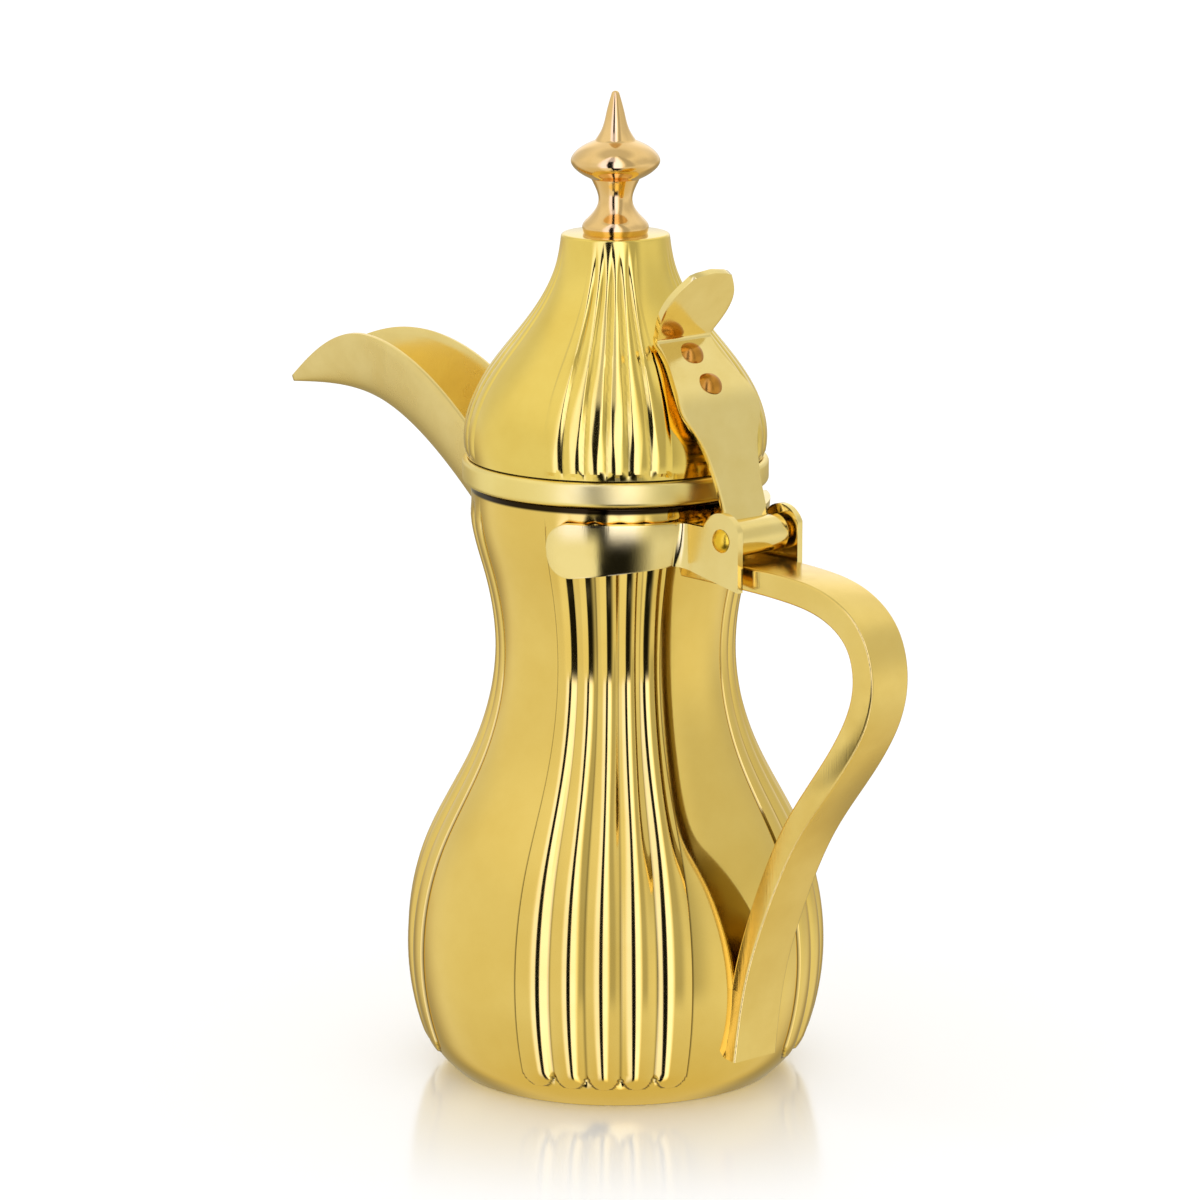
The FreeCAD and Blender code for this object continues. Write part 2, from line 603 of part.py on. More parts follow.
def strap_outline():
    """Front outline of the strap, as deep as the strap reaches."""
    neck = size("ear_gap") / 2 - size("knuckle_side_gap")
    wide, waist, tab = size("strap_width") / 2, size("strap_waist_width") / 2, size("tab_width") / 2
    low, bend = size("pin_height"), size("strap_bend_height")
    fold, top = size("strap_fold_height"), size("tab_end_height")
    lower, leaf, upper = bend - low, fold - bend, top - fold
    straight = low + 0.58 * lower
    side = [(neck, straight), (neck + 0.29 * (wide - neck), low + 0.72 * lower), (wide, low + 0.97 * lower),
            (0.9 * wide, bend + 0.32 * leaf), (waist, bend + 0.97 * leaf), (0.95 * tab, fold + 0.24 * upper),
            (tab, fold + 0.55 * upper), (0.62 * tab, fold + 0.914 * upper), (0.0, top)]

    def curve(sign):
        flank = Part.BSplineCurve()
        flank.interpolate([Vector(0, sign * y, z) for y, z in side])
        return flank.toShape()
    foot = [Vector(0, -neck, low), Vector(0, neck, low)]
    edges = [Part.makeLine(foot[0], foot[1]), Part.makeLine(foot[1], Vector(0, neck, straight)), curve(1),
             curve(-1), Part.makeLine(Vector(0, -neck, straight), foot[0])]
    face = Part.Face(Part.Wire(Part.__sortEdges__(edges)))
    return face.extrude(Vector(2 * size("pin_x"), 0, 0))


def neck_solid(gap):
    """Solid inside the reeds' crests, grown by a gap: what the bracket lies on."""
    meridian = spline(body_points(-size("reed_rise") - gap))
    top = size("rim_height")
    low = size("waist_height")
    piece = part_of(meridian, low, top - 0.01)
    ends = piece.value(piece.FirstParameter), piece.value(piece.LastParameter)
    return revolve([line((0, ends[0].z), (ends[0].x, ends[0].z)), piece.toShape(),
                    line((ends[1].x, ends[1].z), (0, ends[1].z)), line((0, ends[1].z), (0, ends[0].z))])


def hinge_bracket():
    """Bracket on the side of the spectator: a leaf round the neck and an ear beside the knuckle."""
    inside, outside = neck_solid(size("leaf_seat")), neck_solid(size("leaf_seat") + size("ear_thickness"))
    top, span = size("leaf_top"), size("leaf_span")
    inner_face, thick = size("ear_gap") / 2, size("ear_thickness")
    pin = (size("pin_x"), size("pin_height"))
    root_angle = math.degrees(math.asin(inner_face / size("flare_radius")))
    middle = (span + root_angle) / 2
    radius = size("flare_radius") + size("reed_rise")
    reach = radius * math.sin(math.radians((span - root_angle) / 2))
    end_half = size("leaf_end_height") / 2
    root_low, end_low = top - size("leaf_root_height"), top - size("leaf_end_height")
    corners = [Vector(0, reach, top), Vector(0, reach, root_low), Vector(0, end_half - reach, end_low),
               Vector(0, -reach, end_low + end_half), Vector(0, end_half - reach, top)]
    edges = [Part.makeLine(corners[0], corners[1]), Part.makeLine(corners[1], corners[2]),
             Part.Arc(*corners[2:5]).toShape(), Part.makeLine(corners[4], corners[0])]
    tongue = Part.Face(Part.Wire(edges)).extrude(Vector(2 * radius, 0, 0))
    tongue.rotate(Vector(0, 0, 0), Vector(0, 0, 1), -middle)
    leaf = outside.cut(inside).common(tongue)
    hump = size("ear_radius")

    def on_hump(degrees):
        angle = math.radians(degrees)
        return Vector(pin[0] + hump * math.cos(angle), 0, pin[1] + hump * math.sin(angle))
    start, front = Vector(size("waist_radius"), 0, top), size("ear_front_x")
    dip = Vector(pin[0] - 1.32 * hump, 0, top - 0.07 * hump)
    climb = Vector(pin[0] - 0.99 * hump, 0, top + 0.05 * hump)
    rise = math.degrees(math.acos((front - pin[0]) / hump))
    sweep = Part.Arc(dip, climb, on_hump(140)).toShape()
    crown = Part.Arc(on_hump(140), on_hump(90), on_hump(rise)).toShape()
    foot = Vector(front, 0, size("ear_foot_height"))
    back = Vector(size("waist_radius"), 0, root_low)
    heel = Vector(radius + 1.6 * thick, 0, root_low - 0.2 * thick)
    outline = [Part.makeLine(start, dip), sweep, crown, Part.makeLine(on_hump(rise), foot),
               Part.makeLine(foot, heel), Part.makeLine(heel, back), Part.makeLine(back, start)]
    ear = slab(outline, -inner_face - thick, -inner_face).cut(inside)
    bore = pin_bore(size("stud_fit"), 4 * inner_face)
    return leaf.fuse(ear).cut(bore).removeSplitter()


def handle_path():
    """Middle line of the handle from the neck, between the ears, round the bend and down to the foot."""
    top, reach, bend = size("handle_top_height"), size("handle_reach"), size("handle_bend_height")
    start = size("waist_radius")
    belly_x, belly_height = size("belly_radius") + size("handle_belly_stand"), size("belly_height")
    points = [(start + (reach - start) * out, top + (bend - top) * down) for out, down in HANDLE_RUN]
    points += [(reach + (belly_x - reach) * back, bend + (belly_height - bend) * down)
               for back, down in HANDLE_DROP]
    points.append((size("hip_radius") + size("handle_foot_stand"), size("handle_foot_height")))
    curve = Part.BSplineCurve()
    curve.interpolate([Vector(x, 0, z) for x, z in points])
    return curve


def handle(core):
    """Flat bar handle: brazed to the neck between the ears, bent, with a foot that lies on the belly."""
    curve = handle_path()
    first, last = curve.FirstParameter, curve.LastParameter
    stations = 17
    wires = []
    for index in range(stations):
        share = index / (stations - 1)
        parameter = first + (last - first) * share
        middle, along = curve.value(parameter), curve.tangent(parameter)[0]
        across = Vector(along.z, 0, -along.x)
        half_width = handle_share(share, size("handle_top_width"), size("handle_width"),
                                  size("handle_foot_width")) / 2
        half_thick = handle_share(share, size("handle_top_thickness"), size("handle_bend_thickness"),
                                  size("handle_foot_thickness")) / 2
        wires.append(bar_section(middle, across, half_width, half_thick))
    return Part.makeLoft(wires, True, False).cut(core)


def handle_share(share, top, bend, foot):
    """Size along the handle: quick change from the shoulder to the bend, slow change to the foot."""
    if share < HANDLE_TURN:
        ease = share / HANDLE_TURN
        return top + (bend - top) * ease * ease * (3 - 2 * ease)
    ease = (share - HANDLE_TURN) / (1 - HANDLE_TURN)
    return bend + (foot - bend) * ease


def bar_section(middle, across, half_width, half_thick):
    """Rectangle square to the handle's middle line."""
    side = Vector(0, 1, 0)
    corners = [middle + side * (w * half_width) + across * (t * half_thick)
               for w, t in ((1, 1), (-1, 1), (-1, -1), (1, -1))]
    return Part.makePolygon(corners + corners[:1])


def build():
    """Make every sub-part."""
    core = body_core()
    keep("body_shell", shaped("body_shell", body_shell(core)))
    keep("spout", shaped("spout", spout(core)))
    keep("handle", shaped("handle", handle(core)))
    plate_radius = "sizes.standing_ring_radius - sizes.base_plate_gap"
    plate_top = "sizes.base_recess_depth"
    keep("base_plate", turned("base_plate", [("0", "0"), (plate_radius, "0"), (plate_radius, plate_top),
                                             ("0", plate_top)]))
    bracket = shaped("hinge_bracket_near", hinge_bracket())
    keep("hinge_bracket_near", bracket)
    mirror = DOC.addObject("Part::Mirroring", "hinge_bracket_far")
    mirror.Source = bracket
    mirror.Normal = Vector(0, 1, 0)
    keep("hinge_bracket_far", mirror)
    keep("hinge_pin", shaped("hinge_pin", hinge_pin()))
    keep("hinge_strap", shaped("hinge_strap", hinge_strap()))
    keep("strap_rivets", shaped("strap_rivets", strap_rivets()))
    keep("lid_dome", shaped("lid_dome", lid_dome()))
    lid_low = "sizes.rim_height + sizes.lid_gap"
    skirt = "sizes.rim_radius - sizes.wall - sizes.skirt_gap"
    keep("lid_rim_band", turned("lid_rim_band", [
        (skirt + " - sizes.wall", lid_low + " - sizes.skirt_depth"),
        (skirt, lid_low + " - sizes.skirt_depth"),
        (skirt, lid_low), ("sizes.band_radius", lid_low),
        ("sizes.band_radius", lid_low + " + sizes.band_height"),
        ("sizes.band_radius - sizes.band_wall", lid_low + " + sizes.band_height"),
        ("sizes.band_radius - sizes.band_wall", lid_low + " + sizes.wall"),
        (skirt + " - sizes.wall", lid_low + " + sizes.wall")]))
    keep("finial", shaped("finial", finial()))
    add_finial_fastening()


def add_finial_fastening():
    """Stud, washer and nut that hold the finial from inside the dome."""
    top = "sizes.rim_height + sizes.lid_gap + sizes.band_height + sizes.top_rise"
    under = top + " - sizes.wall - sizes.washer_thickness"
    stud = DOC.addObject("Part::Cylinder", "finial_stud")
    stack = "sizes.wall + sizes.washer_thickness + sizes.nut_height + sizes.stud_end"
    bind(stud, Radius="sizes.stud_diameter / 2", Height=stack + " + sizes.stud_depth - sizes.stud_play",
         Placement__Base__z=top + " - (" + stack + ")")
    keep("finial_stud", stud)
    disc = DOC.addObject("Part::Cylinder", "washer_disc")
    bind(disc, Radius="sizes.washer_diameter / 2", Height="sizes.washer_thickness", Placement__Base__z=under)
    keep("finial_washer", bored("finial_washer", disc, under))
    block = DOC.addObject("Part::Prism", "nut_block")
    block.Polygon = 6
    nut_low = under + " - sizes.nut_height"
    bind(block, Circumradius="sizes.nut_width / 2 / cos(30 deg)", Height="sizes.nut_height",
         Placement__Base__z=nut_low)
    keep("finial_nut", bored("finial_nut", block, nut_low))


def bored(name, solid, low):
    """A solid with the stud's hole through it."""
    hole = DOC.addObject("Part::Cylinder", name + "_hole")
    bind(hole, Radius="sizes.stud_diameter / 2 + sizes.stud_fit",
         Height="sizes.nut_height + sizes.washer_thickness", Placement__Base__z=low)
    cut = DOC.addObject("Part::Cut", name)
    cut.Base = solid
    cut.Tool = hole
    return cut


def write():
    """Check every object, then write one file for each sub-part."""
    DOC.recompute()
    for item in DOC.Objects:
        if "Invalid" in item.State or "Error" in item.State:
            raise RuntimeError(f"{item.Label} failed: {item.State}")
    for label, item in NODES.items():
        if item.Shape.isNull() or not item.Shape.isValid() or not item.Shape.Solids:
            raise RuntimeError(f"{label} has no valid solid")
    os.makedirs("parts", exist_ok=True)
    for label, item in NODES.items():
        item.Shape.exportStep(f"parts/{label}.step")
        shape = item.Shape
        print(f"{label}: {len(shape.Solids)} solids, {shape.Volume:.0f} mm3, {len(shape.Faces)} faces")


build()
write()
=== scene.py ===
"""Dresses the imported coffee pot: a reeded golden body with a hinged, reeded lid.

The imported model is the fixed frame. Each visible piece is modelled here again with finer
curves and soft edges, rides on its own body and takes the place of its solid.
"""
import json
import math

import bpy
import numpy as np
from bpy.props import FloatProperty, FloatVectorProperty, IntProperty, PointerProperty
from bpy.types import NodeSocket, Operator, Panel, PropertyGroup
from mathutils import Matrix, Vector


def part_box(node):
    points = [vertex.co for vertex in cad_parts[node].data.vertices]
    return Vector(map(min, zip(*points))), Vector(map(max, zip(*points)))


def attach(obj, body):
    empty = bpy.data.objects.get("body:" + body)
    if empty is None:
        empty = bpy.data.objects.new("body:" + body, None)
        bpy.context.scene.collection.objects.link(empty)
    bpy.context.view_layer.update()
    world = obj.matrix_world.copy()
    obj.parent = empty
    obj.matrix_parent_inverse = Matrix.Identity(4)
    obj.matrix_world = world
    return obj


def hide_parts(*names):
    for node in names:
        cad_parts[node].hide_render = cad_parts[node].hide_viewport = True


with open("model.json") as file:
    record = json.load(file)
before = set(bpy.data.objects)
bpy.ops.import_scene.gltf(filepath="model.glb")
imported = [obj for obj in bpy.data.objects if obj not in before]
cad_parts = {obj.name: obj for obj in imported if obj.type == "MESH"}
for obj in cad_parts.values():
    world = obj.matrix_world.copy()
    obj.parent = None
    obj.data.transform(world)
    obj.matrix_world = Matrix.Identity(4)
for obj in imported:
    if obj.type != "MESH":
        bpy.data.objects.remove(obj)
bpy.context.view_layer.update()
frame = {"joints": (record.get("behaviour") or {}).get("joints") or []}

bl_info = {
    "name": "Reeded Coffee Pot",
    "version": (1, 0, 0),
    "blender": (4, 5, 0),
    "location": "View3D > Sidebar > Coffee Pot",
    "description": "Models and finishes a golden coffee pot with a reeded body and lid",
    "category": "Object",
}

ORIGIN = Vector((0.0, 0.0, 0.0))
ACROSS = Vector((1.0, 0.0, 0.0))
SIDEWAYS = Vector((0.0, 1.0, 0.0))
UP = Vector((0.0, 0.0, 1.0))
HINGE = Vector(frame["joints"][0]["pos_m"])

FULL_TURN = 2.0 * math.pi
GROUP_CENTRES = (45.0, 135.0, -135.0, -45.0)
MERGE_GAP = 0.000002

# Share of a wall's thickness, from its outer face, that the reeds take with them.
OUTER_SHARE = 0.4

WHITE = (1.0, 1.0, 1.0, 1.0)
# Near-black of the painted shade in creases, on the handle's inner side and under the lid band.
PAINTED_SHADE_COLOUR = (0.025, 0.015, 0.005, 1.0)
WARM_LIGHT = (1.0, 0.90, 0.62, 1.0)
COOL_LIGHT = (0.94, 1.0, 1.75, 1.0)

# How much of each colour part is left where the polish is duller.
DULL_SHARES = (0.95, 0.92, 0.82)

# Brightness of the room over the horizon, and what it loses under it: rise in degrees from and to,
# then the value at both.
ROOM_HIGH = ((6.0, 42.0), (0.86, 0.94))
ROOM_LOSS = ((-75.0, 8.0), (0.12, 0.0))

# Patches of the room as metal sees it: brightness, then the turn to the camera's right and the
# rise over the horizon, each from, to and the softness of both ends in degrees.
ROOM_PATCHES = (
    (0.66, ((-400.0, 400.0, 1.0, 1.0), (64.0, 120.0, 9.0, 1.0))),
    (0.76, ((-160.0, -114.0, 16.0, 14.0), (-2.0, 44.0, 14.0, 16.0))),
    (0.85, ((-118.0, -40.0, 12.0, 12.0), (-24.0, 12.0, 10.0, 10.0))),
    (0.40, ((132.0, 230.0, 14.0, 1.0), (-50.0, -6.0, 12.0, 10.0))),
    (0.40, ((-230.0, -132.0, 1.0, 14.0), (-50.0, -6.0, 12.0, 10.0))),
    (1.15, ((158.0, 230.0, 8.0, 1.0), (6.0, 40.0, 6.0, 12.0))),
    (1.15, ((-230.0, -158.0, 1.0, 8.0), (6.0, 40.0, 6.0, 12.0))),
    (0.90, ((62.0, 122.0, 14.0, 10.0), (-26.0, 0.0, 12.0, 14.0))),
    (0.70, ((56.0, 112.0, 18.0, 16.0), (2.0, 46.0, 14.0, 14.0))),
    (0.64, ((102.0, 142.0, 16.0, 18.0), (-14.0, 26.0, 14.0, 18.0))),
    (0.52, ((26.0, 50.0, 5.0, 8.0), (-20.0, 82.0, 6.0, 6.0))),
    (1.60, ((-5.0, 20.0, 2.0, 8.0), (-64.0, 80.0, 6.0, 6.0))),
    (1.35, ((-44.0, -23.0, 9.0, 3.0), (-56.0, 78.0, 8.0, 8.0))),
    (0.66, ((-26.0, -2.0, 5.0, 5.0), (44.0, 78.0, 6.0, 8.0))),
    (0.01, ((-22.0, -6.0, 2.0, 2.0), (-64.0, 48.0, 4.0, 6.0))),
)

# The patch with a cooler light, and the one behind on both sides with a warmer light, as above.
COOL_PATCH = ((-44.0, 18.0, 9.0, 8.0), (-60.0, 76.0, 8.0, 8.0))
WARM_PATCH = ((130.0, 230.0, 14.0, 1.0), (-100.0, -2.0, 1.0, 5.0))

# Rise in degrees up to which the light is warm, and from which it is white.
WARM_RISE = (-68.0, -20.0)

# A card low in front of the neck and the black strip on it: turn in degrees and distance in metres.
NECK_CARD = ((-48.0, 28.0, 8.0, 5.0), (0.085, 0.225, 0.02, 0.05))
NECK_STRIP = ((-12.0, 22.0, 4.0, 18.0), (0.0, 1.0, 0.01, 0.01))
CARD_LIGHT = 0.95
STRIP_LIGHT = 0.01

# Reflection in the floor: distance in metres from and to, then its share at both.
FLOOR_GLOSS = ((0.06, 0.16), (0.34, 0.0))
FLOOR_ROUGHNESS = 0.14

# Strength of the white light on the floor and of the white behind the pot.
FLOOR_LIGHT = 1.10
BACKDROP_LIGHT = 1.0


def length(label, words, default):
    """A size in metres."""
    return FloatProperty(name=label, description=words, default=default, unit="LENGTH", precision=5)


def station(label, words, default):
    """Two sizes in metres, such as the radius and height of a point on an outline."""
    return FloatVectorProperty(
        name=label, description=words, default=default, size=2, unit="LENGTH", precision=5)


def angle(label, words, degrees):
    """An angle, given in degrees."""
    return FloatProperty(name=label, description=words, default=math.radians(degrees), subtype="ANGLE")


def amount(label, words, default):
    """A plain number."""
    return FloatProperty(name=label, description=words, default=default)


def count(label, words, default):
    """A whole number of pieces."""
    return IntProperty(name=label, description=words, default=default, min=1)


def colour(label, words, default):
    """A metal colour as linear red, green and blue."""
    return FloatVectorProperty(
        name=label, description=words, default=default, size=3, subtype="COLOR", min=0.0, max=1.0)


class BodySizes(PropertyGroup):
    """Sizes of the pot's turned and reeded body."""

    floor: station("Floor", "Outer radius of the ring that it stands on", (0.050, 0.0))
    edge: station("Edge", "Radius and height of the rounded lower edge", (0.055, 0.005))
    hip: station("Hip", "Radius and height just above the lower edge", (0.0595, 0.015))
    belly: station("Belly", "Radius and height of the widest part", (0.0628, 0.040))
    shoulder: station("Shoulder", "Radius and height above the belly", (0.057, 0.070))
    slope: station("Slope", "Radius and height where the belly runs into the neck", (0.0432, 0.098))
    waist: station("Waist", "Radius and height of the narrowest part", (0.036, 0.128))
    neck: station("Neck", "Radius and height where the neck widens", (0.039, 0.154))
    flare: station("Flare", "Radius and height below the rim", (0.0426, 0.168))
    rim: station("Rim", "Radius and height of the rim", (0.0439, 0.1815))
    wall: length("Wall", "Thickness of the sheet metal", 0.0012)
    ring: length("Ring", "Inner radius of the ring that it stands on", 0.0465)
    ledge: length("Ledge", "Inner radius of the ledge over the base plate", 0.043)
    recess: length("Recess", "Depth of the recess for the base plate", 0.002)
    reed_rise: length("Reed rise", "How far a reed's crest stands out of the wall at the belly", 0.0013)
    reed_sink: length("Reed sink", "How far the valleys at the belly lie under the crests' feet", 0.0010)
    reed_crest: amount("Reed crest", "Rounding of a reed's crest, as a part of half its width", 1.2)
    reed_step: amount("Reed step", "Part of a reed's rise that stands up at its outer edge", 0.5)
    reed_foot: length("Reed foot", "Height of a reed's rounded lower end", 0.0066)
    reed_foot_length: length("Reed foot length", "Height over which the lower end rounds off", 0.0055)
    reed_end: length("Reed end", "Height at which the reeds have run out below the rim", 0.178)
    reed_fade: length("Reed fade", "Height over which they run out", 0.007)
    reeds: count("Reeds", "Reeds in each of the four groups", 5)
    reed_group: angle("Reed group", "Angle that one group of reeds takes up", 50.0)
    hole_width: length("Hole width", "Width of the pouring hole behind the spout", 0.017)
    hole_low: length("Hole foot", "Height of the pouring hole's lower end", 0.1505)
    hole_high: length("Hole head", "Height of the pouring hole's upper end", 0.1755)


class LidSizes(PropertyGroup):
    """Sizes of the lid: its rim band, its reeded dome and its finial."""

    lip: station("Lip", "Radius and height of the dome's lower edge", (0.0449, 0.1899))
    bulge: station("Bulge", "Radius and height of the widest part", (0.0454, 0.1935))
    crown: station("Crown", "Radius and height where the dome turns in", (0.042, 0.2095))
    sweep: station("Sweep", "Radius and height half way up", (0.0292, 0.2275))
    stem: station("Stem", "Radius and height below the top", (0.0178, 0.2475))
    top: station("Top", "Radius and height of the flat top", (0.0154, 0.2573))
    wall: length("Wall", "Thickness of the dome", 0.0012)
    reed_rise: length("Reed rise", "How far a reed's crest stands out at the lip", 0.0004)
    reed_sink: length("Reed sink", "How far the valleys between the reeds lie under the dome", 0.00015)
    reed_gain: amount("Reed gain", "How much deeper the reeds are cut up the dome", 1.2)
    reed_lip: length("Reed lip", "Plain height under the reeds", 0.0010)
    reed_start: length("Reed start", "Height over which the reeds rise out of the lip", 0.0012)
    reed_end: length("Reed end", "Height at which the reeds have run out below the top", 0.2572)
    reed_fade: length("Reed fade", "Height over which they run out", 0.016)
    reeds: count("Reeds", "Reeds in each of the four groups", 6)
    reed_group: angle("Reed group", "Angle that one group of reeds takes up", 50.0)
    band_radius: length("Band radius", "Outer radius of the rim band", 0.0464)
    band_round: length("Band rounding", "Rounding of the rim band's edges", 0.0016)
    finial_foot: station("Finial foot", "Radius and height of the finial's foot", (0.010, 0.2593))
    finial_neck: station("Finial neck", "Radius and height of its thin neck", (0.0051, 0.2671))
    finial_collar: station("Finial collar", "Radius and height of its collar", (0.0072, 0.2734))
    finial_ball: station("Finial ball", "Radius and height of its ball", (0.0134, 0.2790))
    finial_spike: station("Finial spike", "Radius and height of the spike's root", (0.0065, 0.2850))
    finial_tip: length("Finial tip", "Height of the tip", 0.300)


class SpoutSizes(PropertyGroup):
    """Sizes of the open beak."""

    wall: length("Wall", "Thickness of the sheet metal", 0.0012)
    root: station("Root", "Distance and height of the keel's root", (0.039, 0.145))
    keel_low: station("Keel", "Distance and height of the keel's lower part", (0.072, 0.1735))
    keel_high: station("Keel end", "Distance and height of the keel's upper part", (0.110, 0.1922))
    tip: station("Tip", "Distance and height of the keel at the tip", (0.1568, 0.1919))
    lip_root: station("Lip root", "Distance and height of the lips' root", (0.039, 0.180))
    lip_low: station("Lip", "Distance and height of the lips' lower part", (0.072, 0.205))
    lip_high: station("Lip crest", "Distance and height of the lips' crest", (0.112, 0.214))
    tip_depth: length("Tip depth", "Height of the lips over the keel at the tip", 0.002)
    root_width: length("Root width", "Width at the root", 0.026)
    crest_width: length("Crest width", "Width at the lips' crest", 0.0205)
    tip_width: length("Tip width", "Width at the tip", 0.0022)
    fullness: amount("Fullness", "Power of the curve across the beak", 2.6)


class HandleSizes(PropertyGroup):
    """Sizes of the bar handle."""

    top: length("Top", "Height of the level upper run", 0.163)
    reach: length("Reach", "Distance of the bend from the middle", 0.1152)
    bend: length("Bend", "Height of the bend", 0.138)
    foot: length("Foot", "Height of the lower end", 0.0145)
    top_bar: station("Upper bar", "Width and thickness at the neck", (0.0184, 0.007))
    bend_bar: station("Bend bar", "Width and thickness at the bend", (0.0148, 0.0086))
    foot_bar: station("Lower bar", "Width and thickness at the foot", (0.0172, 0.0052))
    rounding: length("Rounding", "Rounding of the bar's edges", 0.0009)


class HingeSizes(PropertyGroup):
    """Sizes of the brackets, the pin, the strap and its rivets."""

    sheet: length("Sheet", "Thickness of the bracket and strap sheet", 0.002)
    ear_gap: length("Ear gap", "Distance between the two ears", 0.022)
    ear_radius: length("Ear radius", "Radius of the ear round the pin", 0.0082)
    ear_front: length("Ear front", "Distance of the ear's front edge", 0.0686)
    ear_foot: length("Ear foot", "Height of the ear's lower front corner", 0.1594)
    leaf_top: length("Leaf top", "Height of the leaf's upper edge", 0.177)
    leaf_root: length("Leaf root", "Height of the leaf beside the ear", 0.013)
    leaf_end: length("Leaf end", "Height of the leaf's rounded end", 0.0175)
    leaf_stand: length("Leaf stand", "Distance of the leaf from the neck's plain wall", 0.0013)
    leaf_span: angle("Leaf span", "Angle from the handle to the leaf's end", 68.0)
    bend_radius: length("Bend radius", "Radius of the bend between ear and leaf", 0.003)
    pin: length("Pin", "Diameter of the pin", 0.005)
    pin_head: length("Pin head", "Diameter of the pin's heads", 0.007)
    pin_dome: length("Pin dome", "Height of the pin's heads", 0.0019)
    knuckle: length("Knuckle", "Diameter of the strap's rolled knuckle", 0.011)
    knuckle_gap: length("Knuckle gap", "Room between knuckle and ear", 0.0016)
    strap_root: station("Strap root", "Distance and height of the strap's lower end", (0.05965, 0.1773))
    strap_bend: station("Strap bend", "Distance and height where it leans in", (0.0474, 0.212))
    strap_fold: station("Strap fold", "Distance and height where the thumb tab starts", (0.0304, 0.229))
    strap_end: station("Strap end", "Distance and height of the thumb tab's end", (0.044, 0.250))
    rivet_head: length("Rivet head", "Diameter of a rivet's head", 0.0076)
    rivet_dome: length("Rivet dome", "Height of a rivet's head", 0.0025)
    rivet_shank: length("Rivet shank", "Diameter of a rivet's shank", 0.0036)
    rivet_reach: length("Rivet reach", "Length of a rivet under its head", 0.0044)
    rivet_spacing: length("Rivet spacing", "Distance between the two rivets", 0.0115)
    rivet_offset: length("Rivet offset", "Distance of the upper rivet from the fold", 0.0056)


class Finishes(PropertyGroup):
    """Colours of the metals."""

    body_gold: colour("Body gold", "Mirror gold of the body", (0.89, 0.645, 0.16))
    lid_gold: colour("Lid gold", "Mirror gold of the lid", (0.91, 0.685, 0.155))
    # Paler than the dome's gold as a painted highlight: the band is lightened to stand in for its bright
    # highlights.
    band_gold_painted_highlight: colour("Band gold", "Paler gold of the lid's band", (0.97, 0.79, 0.27))
    satin_gold: colour("Satin gold", "Satin gold of the handle", (0.89, 0.66, 0.19))
    beak_gold: colour("Beak gold", "Paler satin gold of the spout", (0.88, 0.69, 0.25))
    strap_gold: colour("Strap gold", "Gold of the hinge strap", (0.92, 0.74, 0.28))
    pin_brass: colour("Pin brass", "Yellow brass of the hinge pin", (0.88, 0.56, 0.04))
    rivet_copper: colour("Rivet copper", "Reddish brass of the rivets", (0.58, 0.26, 0.035))
    finial_brass: colour("Finial brass", "Brass of the finial", (0.90, 0.61, 0.25))
    steel: colour("Steel", "Steel of the hidden fastening", (0.58, 0.58, 0.57))


class StageSettings(PropertyGroup):
    """Camera, floor and light."""

    azimuth: angle("Azimuth", "Turn of the camera round the pot", 48.5)
    elevation: angle("Elevation", "Height of the camera over the pot's middle", 12.0)
    distance: length("Distance", "Distance of the camera from the pot's middle", 1.611)
    aim: length("Aim", "Height of the point that the camera turns round", 0.150)
    lens: amount("Lens", "Focal length in millimetres", 159.0)
    shift_right: amount("Shift across", "Shift of the frame, as a part of its width", -0.0129)
    shift_up: amount("Shift up", "Shift of the frame, as a part of its width", -0.0144)
    floor_width: length("Floor width", "Width of the floor", 12.0)
    card_width: length("Card width", "Width of the clear sheet that holds the neck card", 0.9)
    card_height: length("Card height", "Height of the neck card", 0.1)


def settle():
    """Leaves edit mode and deselects everything."""
    if bpy.context.object and bpy.context.object.mode != "OBJECT":
        bpy.ops.object.mode_set(mode="OBJECT")
    bpy.ops.object.select_all(action="DESELECT")


def pick(*pieces):
    """Selects these pieces alone and makes the first one active."""
    settle()
    for piece in pieces:
        piece.select_set(True)
    bpy.context.view_layer.objects.active = pieces[0]


def new_piece(name):
    """Names the piece that an operator has just added and opens it for editing."""
    piece = bpy.context.object
    piece.name = name
    piece.data.name = name
    bpy.ops.object.mode_set(mode="EDIT")
    bpy.ops.mesh.select_all(action="SELECT")
    return piece


def drawn_line(name, points):
    """One vertex extruded from point to point."""
    settle()
    bpy.ops.mesh.primitive_plane_add(size=0.001, location=ORIGIN)
    piece = new_piece(name)
    bpy.ops.mesh.merge(type="CENTER")
    bpy.ops.transform.translate(value=points[0])
    for start, end in zip(points, points[1:]):
        bpy.ops.mesh.extrude_region_move(TRANSFORM_OT_translate={"value": end - start})
    bpy.ops.mesh.select_all(action="SELECT")
    return piece


def close_up():
    """Merges what meets and turns the faces outwards."""
    bpy.ops.mesh.select_all(action="SELECT")
    bpy.ops.mesh.remove_doubles(threshold=MERGE_GAP)
    bpy.ops.mesh.normals_make_consistent(inside=False)
    bpy.ops.object.mode_set(mode="OBJECT")


def turned(name, outline, steps, origin=ORIGIN, axis=UP, across=ACROSS):
    """A turned piece. The outline gives radius and height along the axis."""
    points = [origin + across * radius + axis * height for radius, height in outline]
    piece = drawn_line(name, points)
    bpy.ops.mesh.spin(steps=steps // 4, angle=FULL_TURN / 4.0, center=origin, axis=axis)
    bpy.ops.mesh.select_all(action="SELECT")
    bpy.ops.mesh.spin(steps=3, angle=FULL_TURN * 0.75, dupli=True, center=origin, axis=axis)
    close_up()
    return piece


